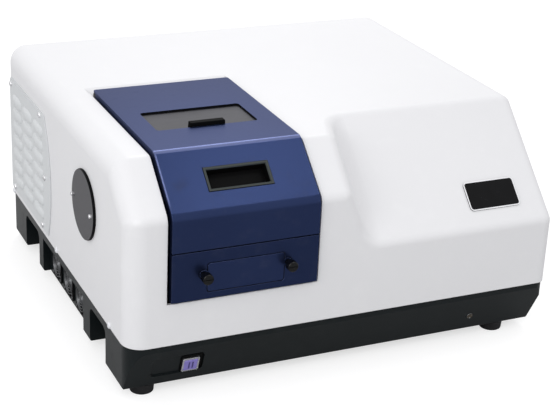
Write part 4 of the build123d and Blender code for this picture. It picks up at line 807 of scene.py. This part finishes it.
def metallic_blue(name, strength):
    """Dark blue paint with a fine aluminium flake, with painted highlights along the lid's upper bend, its
    left rim and every edge.
    """
    paint = Finish(name)
    clouds = paint.noise(10.0, 4.0)
    flake = paint.noise(2600.0, 1.0)
    peel = paint.noise(380.0, 2.0)
    dust = paint.between(paint.noise(60.0, 6.0), 0.52, 0.8)
    beside = paint.add("ShaderNodeSeparateXYZ", {}, {"Vector": paint.place}, "X") - upper_bend.x
    across = paint.add("ShaderNodeSeparateXYZ", {}, {"Vector": paint.place}, "Y") - upper_bend.y
    above = paint.add("ShaderNodeSeparateXYZ", {}, {"Vector": paint.place}, "Z") - upper_bend.z
    from_bend = across * across + above * above
    # Painted highlights: a pale line along the lid's upper bend, and a thinner one down the left rim of the
    # slope, mixed into the colour.
    painted_bend_highlight = 1.0 - paint.between(from_bend, 0.001**2, 0.004**2)
    on_slope = paint.between(above, -0.05, -0.035) * (1.0 - paint.between(above, -0.004, -0.001))
    painted_rim_highlight = (1.0 - paint.between(beside * beside, 0.0000004, 0.0000016)) * on_slope
    darker = tuple(part * strength for part in (0.0208, 0.0328, 0.091)) + (1.0,)
    lighter = tuple(part * strength for part in (0.0245, 0.0382, 0.103)) + (1.0,)
    shade = paint.tint(clouds, darker, lighter)
    shade = paint.tint(paint.between(flake, 0.55, 0.8) * 0.3, shade, (0.06, 0.085, 0.2, 1.0))
    shade = paint.tint(painted_bend_highlight * (clouds * 0.4 + 0.6), shade, (0.17, 0.2, 0.38, 1.0))
    shade = paint.tint(painted_rim_highlight * (clouds * 0.6 + 0.3), shade, (0.17, 0.2, 0.38, 1.0))
    # Edges painted lighter blue: a painted highlight along every edge.
    shade = paint.tint(paint.along_edges(blue_edge) * 0.7, shade, (0.14, 0.17, 0.32, 1.0))
    shade = paint.tint(dust * 0.04, shade, (0.2, 0.2, 0.22, 1.0))
    return paint.surface(
        Base_Color=shade,
        Metallic=0.85,
        Roughness=clouds * 0.05 + dust * 0.08 + 0.3,
        Specular_IOR_Level=0.2,
        Specular_Tint=(0.72, 0.73, 0.84, 1.0),
        Normal=paint.relief(peel, 0.00002, paint.broken_edges(blue_edge)),
    )


blue_paint = metallic_blue("blue_metallic_paint", 1.0)
# Black for faces in shade, as painted shade: the cut edge of the lid's window and the seat round the access
# plate.
painted_shade_black = moulded("window_edge_painted_shade", (0.003, 0.003, 0.004), 0.5, shine=0.1)
window_middle = -0.1375
window_reach = 0.07
window_front = -0.15
window_back = 0.028
lid_inside = 0.2835


def window_edge(at, normal):
    """The cut edge of the window in the lid's top, painted black as the shade in it."""
    beside = abs(at.x - window_middle) < window_reach and window_front < at.y < window_back
    return beside and abs(normal.z) < 0.5 and at.z > lid_inside


two_finishes(lid, blue_paint, painted_shade_black, window_edge)
fit(lid, blue_paint, "lid", "lid_blue", "lid_shell")
panel = copy_of("blue_front_panel", "front_panel")
soften(panel, 0.0005)
panel_paint = metallic_blue("blue_metallic_panel_paint", 0.8)
access_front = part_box("access_plate")[0].y
access_middle = middle_of("access_plate")
seat_half_width = 0.0585
seat_half_height = 0.0192
seat_floor = -0.2515


def in_the_seat(at, normal):
    """The floor and the walls of the seat that the access plate lies in, which show in the joint; painted
    black as the shade there.
    """
    across = abs(at.x - access_middle.x) < seat_half_width and abs(at.z - access_middle.z) < seat_half_height
    return across and access_front + 0.0004 < at.y < seat_floor and (normal.y < -0.9 or abs(normal.y) < 0.3)


two_finishes(panel, panel_paint, painted_shade_black, in_the_seat)
fit(panel, panel_paint, "instrument", "lid_blue", "front_panel")
access = copy_of("blue_access_plate", "access_plate")
joint_fit = (0.993, 1.0, 0.979)
ears = [middle_of("thumbscrew_left"), middle_of("thumbscrew_right")]
ear_bore = 0.003
pick(access, "VERT", lambda at: all((at - ear).xz.length > ear_bore for ear in ears))
bpy.ops.transform.resize(value=joint_fit, center_override=access_middle)
close()
soften(access, 0.0006)
fit(access, blue_paint, "access_plate", "lid_blue", "access_plate")
wear(metal("black_zinc_hinge", (0.035, 0.035, 0.038), 0.4), "lid_hinge_leaf", "body_hinge_leaf", "hinge_pin")

# Thumbscrews: black knurled heads on a neck, with a slot across the face. Each one's shank goes
# through an ear of the access plate into the panel behind it.
thumb_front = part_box("thumbscrew_left")[0].y
thumb_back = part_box("thumbscrew_left")[1].y
thumb_radius = 0.0065
thumb_length = 0.0095
rim_inset = 0.0008
rim_setback = 0.0007
knurls = 60
knurl_bottom = 0.94
neck_length = 0.0055
thumb_shank = thumb_back - thumb_front - thumb_length - neck_length
slot_depth = 0.0011
slot_reach = Vector((0.008, 0, 0.0006))
thumb_black = moulded("thumbscrew_black", (0.0025, 0.0025, 0.003), 0.26, 1600.0, 0.00001, 0.25)


def knurled_screw(name, axis):
    """A knurled head with a slot, a neck and a shank, along Y through a point of its axis."""
    face = Vector((axis.x, thumb_front, axis.z))
    middle = face + Vector((0, thumb_length / 2, 0))

    def groove(at, way):
        around = math.atan2((at - face).z, (at - face).x) / (2 * math.pi) * knurls
        return abs(way.y) > 0.9 and round(around) % 2 == 0

    knob = bar(name, middle, thumb_radius, thumb_length, "Y", knurls)
    pick(knob, "FACE", lambda at, normal: abs(normal.y) > 0.9)
    bpy.ops.mesh.inset(thickness=rim_inset, use_individual=True)
    close()
    pick(knob, "VERT", lambda at: (at - face).xz.length > thumb_radius - rim_inset / 2)
    shorter = (thumb_length - 2 * rim_setback) / thumb_length
    bpy.ops.transform.resize(value=(1.0, shorter, 1.0), center_override=middle)
    close()
    pick(knob, "EDGE", groove)
    bpy.ops.transform.resize(value=(knurl_bottom, 1.0, knurl_bottom), center_override=middle)
    close()
    pick(knob, "FACE", lambda at, normal: normal.y > 0.9 and (at - face).xz.length < 0.001)
    bpy.ops.mesh.inset(thickness=0.0017)
    extrude(0, neck_length, 0)
    bpy.ops.mesh.inset(thickness=0.002)
    extrude(0, thumb_shank, 0)
    close()
    slot_low = face - slot_reach - Vector((0, 0.001, 0))
    cut(knob, block("drive_slot", slot_low, face + slot_reach + Vector((0, slot_depth, 0))))
    return knob


for side in ("left", "right"):
    knob = knurled_screw("knurled_screw_" + side, middle_of("thumbscrew_" + side))
    fit(knob, thumb_black, "thumbscrew_" + side, "black_plastic", "thumbscrew_" + side)

# Flush pull: a moulded cup with a bevelled olive-grey rim, snapped into the lid's slope. Fingers
# reach into the cup to lift the lid.
pull_low, pull_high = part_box("lid_pull")
lid_rise, lid_run = 0.052, 0.061
pull_pitch = math.atan2(lid_rise, lid_run)
pull_width = pull_high.x - pull_low.x
pull_height = 0.0312
pull_seat = ((pull_low.x + pull_high.x) / 2, -0.22328, 0.2586)
pull_flange = 0.0003
cup_depth = 0.014
pull_corner = Vector((pull_width / 2, pull_height / 2, 0))
pull = block("moulded_pull", -pull_corner, pull_corner + Vector((0, 0, pull_flange)))
pick(pull, "FACE", faces_down)
bpy.ops.mesh.inset(thickness=0.0027)
extrude(0, 0, -cup_depth)
close()
pick(pull, "FACE", faces_up)
bpy.ops.mesh.inset(thickness=0.0006, depth=0.0005)
bpy.ops.mesh.inset(thickness=0.0024)
bpy.ops.mesh.inset(thickness=0.0009, depth=-0.0012)
bpy.ops.mesh.inset(thickness=0.0002, depth=-0.0115)
close()
soften(pull, 0.00025, sharper_than=40)
rim_plastic = moulded("pull_rim_olive", (0.03, 0.037, 0.035), 0.42, 1800.0, 0.00002, 0.3)
cup_plastic = moulded("pull_cup_black", (0.002, 0.002, 0.0022), 0.55, shine=0.08)
rim_edge = 0.0006
rim_band = 0.003


def blackened(at, normal):
    """The cup, and the rim's outer edge."""
    edge = abs(at.x) > pull_width / 2 - rim_edge or abs(at.y) > pull_height / 2 - rim_edge
    return edge or (at.z < -0.0001 and abs(at.x) < pull_width / 2 - rim_band)


two_finishes(pull, rim_plastic, cup_plastic, blackened)
pull.rotation_euler = (pull_pitch, 0, 0)
pull.location = pull_seat
fit(pull, rim_plastic, "lid", "pull_olive", "lid_pull")

# Shutter: a dark grey sheet that slides back under the lid's window, in two black rails, by a
# black bar with rounded edges.
shutter_low, shutter_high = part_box("shutter_plate")
shutter = block("shutter_sheet", shutter_low, shutter_high)
round_off(shutter, 0.002, 4, upright)
soften(shutter, 0.0003)
shutter_grey = metal("shutter_satin_grey", (0.058, 0.058, 0.066), 0.5, (0.05, 1.0, 1.0))
fit(shutter, shutter_grey, "shutter", "shutter_grey", "shutter_plate")
handle_low, handle_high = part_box("shutter_handle")
handle = block("shutter_bar", handle_low, handle_high)
pick(handle, "FACE", faces_up)
bpy.ops.transform.resize(value=(0.985, 0.9, 1.0), center_override=(handle_low + handle_high) / 2)
close()
round_off(handle, 0.001, 4, lambda at, way: at.z > handle_low.z + 0.001)
bar_black = moulded("shutter_bar_black", (0.003, 0.003, 0.0035), 0.6, shine=0.03)
fit(handle, bar_black, "shutter", "black_plastic", "shutter_handle")
wear(bar_black, "shutter_rails")

# Event button: a square lilac cap with two ribs, in a bright bezel with a row of teeth along each
# side. It stands at the right end of a shallow pocket in the tray's front, on a thin black sheet
# that is painted shade, standing for the pocket's shadow round the button.
front_inset, front_rise = 0.019, 0.052
front_lean = math.atan2(front_inset, front_rise)
front_way = Vector((0, -math.cos(front_lean), -math.sin(front_lean)))
event_middle = Vector((middle_of("event_bezel").x, -0.23824, 0.0365))
shade_sheet_low = (-0.0125, -0.0125, -0.0019)
shade_sheet_high = (0.0157, 0.0146, -0.0012)
shade_sheet_window = 0.0108
bezel_half = 0.0105
well_half = 0.0083
cap_half = 0.00825
tooth_pitch = 0.0028
tooth_half = 0.0006
tooth_inside, tooth_outside = 0.0084, 0.0103
tooth_foot, tooth_top = 0.0008, 0.0014
rib_half_width, rib_half_length = 0.0009, 0.0052
rib_foot, rib_top = 0.0015, 0.0023
rib_reach = 0.0022


def square(name, half, low, high):
    """A square block about the button's own axis, between two heights."""
    return block(name, (-half, -half, low), (half, half, high))


# Painted shade: a thin black sheet round the button, where the pocket's shadow falls.
pocket_shade_sheet = block("pocket_shade_sheet", shade_sheet_low, shade_sheet_high)
round_off(pocket_shade_sheet, 0.004, 6, upright)
cut(pocket_shade_sheet, square("window", shade_sheet_window, -0.01, 0.01))
bezel = square("bright_bezel", bezel_half, -0.002, 0.0007)
round_off(bezel, 0.0015, 4, upright)
pick(bezel, "FACE", faces_up)
bpy.ops.mesh.inset(thickness=0.0003, depth=0.0003)
close()
cut(bezel, square("well", well_half, -0.01, 0.01))
teeth = []
for step in range(-3, 4):
    start, end = step * tooth_pitch - tooth_half, step * tooth_pitch + tooth_half
    for low, high in ((-tooth_outside, -tooth_inside), (tooth_inside, tooth_outside)):
        teeth.append(block("tooth", (start, low, tooth_foot), (end, high, tooth_top)))
        teeth.append(block("tooth", (low, start, tooth_foot), (high, end, tooth_top)))
bezel = joined("bright_bezel", bezel, *teeth)
button = square("lilac_button", cap_half, -0.0035, 0.0013)
round_off(button, 0.0006, 2, upright)
pick(button, "FACE", faces_up)
bpy.ops.mesh.inset(thickness=0.0006, depth=0.0006)
close()


def tinted_cap(name, deep, pale):
    """Clear-coated plastic with a cloudy tint."""
    cap = Finish(name)
    swirl = cap.noise(160.0, 3.0)
    return cap.surface(
        Base_Color=cap.tint(swirl, deep, pale),
        Roughness=swirl * 0.1 + 0.18,
        Coat_Weight=0.4,
        Normal=cap.relief(swirl, 0.00003, cap.broken_edges(0.0003)),
    )


lilac_cap = tinted_cap("lilac_cap", (0.17, 0.13, 0.5, 1.0), (0.3, 0.26, 0.66, 1.0))
violet_rib = tinted_cap("violet_rib", (0.03, 0.02, 0.14, 1.0), (0.06, 0.045, 0.22, 1.0))
button.data.materials.append(lilac_cap)
ribs = []
for x in (-rib_reach, rib_reach):
    rib_low = (x - rib_half_width, -rib_half_length, rib_foot)
    rib = block("rib", rib_low, (x + rib_half_width, rib_half_length, rib_top))
    round_off(rib, 0.0003, 2, lambda at, way: True)
    rib.data.materials.append(violet_rib)
    ribs.append(rib)
button = joined("lilac_button", button, *ribs)
for piece in (pocket_shade_sheet, bezel, button):
    piece.rotation_euler = (math.pi / 2 + front_lean, 0, 0)
    piece.location = event_middle
shade_sheet_black = moulded("pocket_painted_shade_black", (0.0015, 0.0015, 0.0018), 0.6, shine=0.06)
fit(pocket_shade_sheet, shade_sheet_black, "instrument", "black_plastic")
bezel_metal = metal("bezel_bright_metal", (0.66, 0.66, 0.7), 0.3)
fit(bezel, bezel_metal, "instrument", "black_plastic", "event_bezel")
fit(button, lilac_cap, "event_button", "button_purple", "event_button")

# Power lamp: a small amber lens in a plain bright ring, pressed into the tray's front at the right.
# The lamp faces a little downwards, as that front does.
lamp = copy_of("power_lamp_ring", "power_lamp")
lamp_middle = middle_of("power_lamp")
lens_radius = 0.00245
ring_metal = metal("lamp_ring_metal", (0.6, 0.6, 0.62), 0.3)
lens = Finish("amber_lens")
core = lens.noise(300.0, 2.0)
lens.surface(
    Base_Color=lens.tint(core, (0.03, 0.022, 0.012, 1.0), (0.055, 0.04, 0.02, 1.0)),
    Roughness=core * 0.08 + 0.15,
    Coat_Weight=0.5,
    Normal=lens.relief(core, 0.00002),
)


def in_the_lens(at, normal):
    """Whether a face lies within the lens's edge, seen along the lamp's axis."""
    aside = at - lamp_middle
    return (aside - front_way * aside.dot(front_way)).length < lens_radius


two_finishes(lamp, ring_metal, lens.material, in_the_lens)
fit(lamp, ring_metal, "instrument", "lamp_amber", "power_lamp")

# Connectors: a pressed steel panel in the tray's back, with the mains inlet, the rocker switch and
# two data sockets screwed or snapped into it.
wear(coat("connector_panel_grey", (0.3, 0.3, 0.31), 0.42, 1200.0, 0.00003), "connector_panel")
wear(moulded("inlet_black_plastic", (0.011, 0.011, 0.012), 0.4), "power_inlet", "rocker_frame")
wear(moulded("rocker_black_gloss", (0.008, 0.008, 0.009), 0.22, 2400.0, 0.000005), "power_rocker")
wear(metal("socket_shell", (0.68, 0.68, 0.7), 0.25), "data_sockets")

# Floor and air: a pale sweep of paper with a soft shadow on it, in an even, nearly white room. What
# the camera, the metal and the glass see of both is lighter than the light that they give.


def sees(mix, kind):
    """1 where a ray of a kind arrives, and 0 for the other rays."""
    return mix.add("ShaderNodeLightPath", {}, {}, "Is %s Ray" % kind)


bpy.ops.object.select_all(action="DESELECT")
bpy.ops.mesh.primitive_plane_add(size=30.0, location=(0.0, 0.0, 0.0))
floor = bpy.context.object
floor.name = "floor"
paper = Finish("pale_paper")
lit = paper.add("ShaderNodeBsdfDiffuse", {}, {"Color": (0.52, 0.52, 0.52, 1.0)})
bright = sees(paper, "Camera") * 0.64 + (sees(paper, "Glossy") + sees(paper, "Transmission")) * 0.04
glow = paper.add("ShaderNodeEmission", {}, {"Color": (1.0, 1.0, 1.0, 1.0), "Strength": bright})
both = paper.add("ShaderNodeAddShader", {}, {0: lit, 1: glow})
paper.add("ShaderNodeOutputMaterial", {}, {"Surface": both})
floor.data.materials.append(paper.material)


class Air(Finish):
    """The light that comes from all round, mixed from the same nodes."""

    def __init__(self, name):
        self.world = bpy.data.worlds.new(name)
        self.world.use_nodes = True
        self.tree = self.world.node_tree
        self.tree.nodes.clear()

    def either(self, first, second):
        return self.add("ShaderNodeMath", {"operation": "MAXIMUM"}, {0: first, 1: second})


air = Air("studio")
soft = air.add("ShaderNodeBackground", {}, {"Color": (0.87, 0.87, 0.885, 1.0)})
white = air.add("ShaderNodeBackground", {}, {"Color": (1.0, 1.0, 1.0, 1.0)})
clear = air.either(air.either(sees(air, "Camera"), sees(air, "Glossy")), sees(air, "Transmission"))
seen_air = air.add("ShaderNodeMixShader", {}, {0: clear, 1: soft, 2: white})
air.add("ShaderNodeOutputWorld", {}, {"Surface": seen_air})
bpy.context.scene.world = air.world

# Lights and camera: a wide soft box at the front left, a small one overhead and one behind, and the
# lens that took the picture.


def softbox(name, at, towards, wide, deep, power):
    """A soft rectangular light that faces a point."""
    bpy.ops.object.light_add(type="AREA", location=at)
    light = bpy.context.object
    light.name = name
    light.rotation_euler = (Vector(towards) - Vector(at)).to_track_quat("-Z", "Y").to_euler()
    light.data.shape = "RECTANGLE"
    light.data.size = wide
    light.data.size_y = deep
    light.data.energy = power


softbox("front_left_softbox", (-1.9, -1.45, 1.3), (0.0, 0.0, 0.12), wide=1.5, deep=1.1, power=17.5)
softbox("overhead_softbox", (0.66, -0.78, 2.2), (-0.13, -0.22, 0.25), wide=0.3, deep=0.32, power=2.6)
softbox("back_softbox", (0.42, 1.15, 1.3), (-0.13, -0.2, 0.28), wide=0.6, deep=0.35, power=4.3)

camera_lens = bpy.data.cameras.new("camera")
camera_lens.sensor_width = 36.0
camera_lens.lens = 93.47
camera_lens.clip_start = 0.05
camera = bpy.data.objects.new("camera", camera_lens)
bpy.context.scene.collection.objects.link(camera)
camera_place = Vector((-0.73352, -1.60264, 0.86474))
camera_turn = Euler([math.radians(degrees) for degrees in (66.9722, -2.4993, -24.0269)])
camera.matrix_world = Matrix.LocRotScale(camera_place, camera_turn, None)
bpy.context.scene.camera = camera
bpy.context.scene.view_settings.view_transform = "Standard"
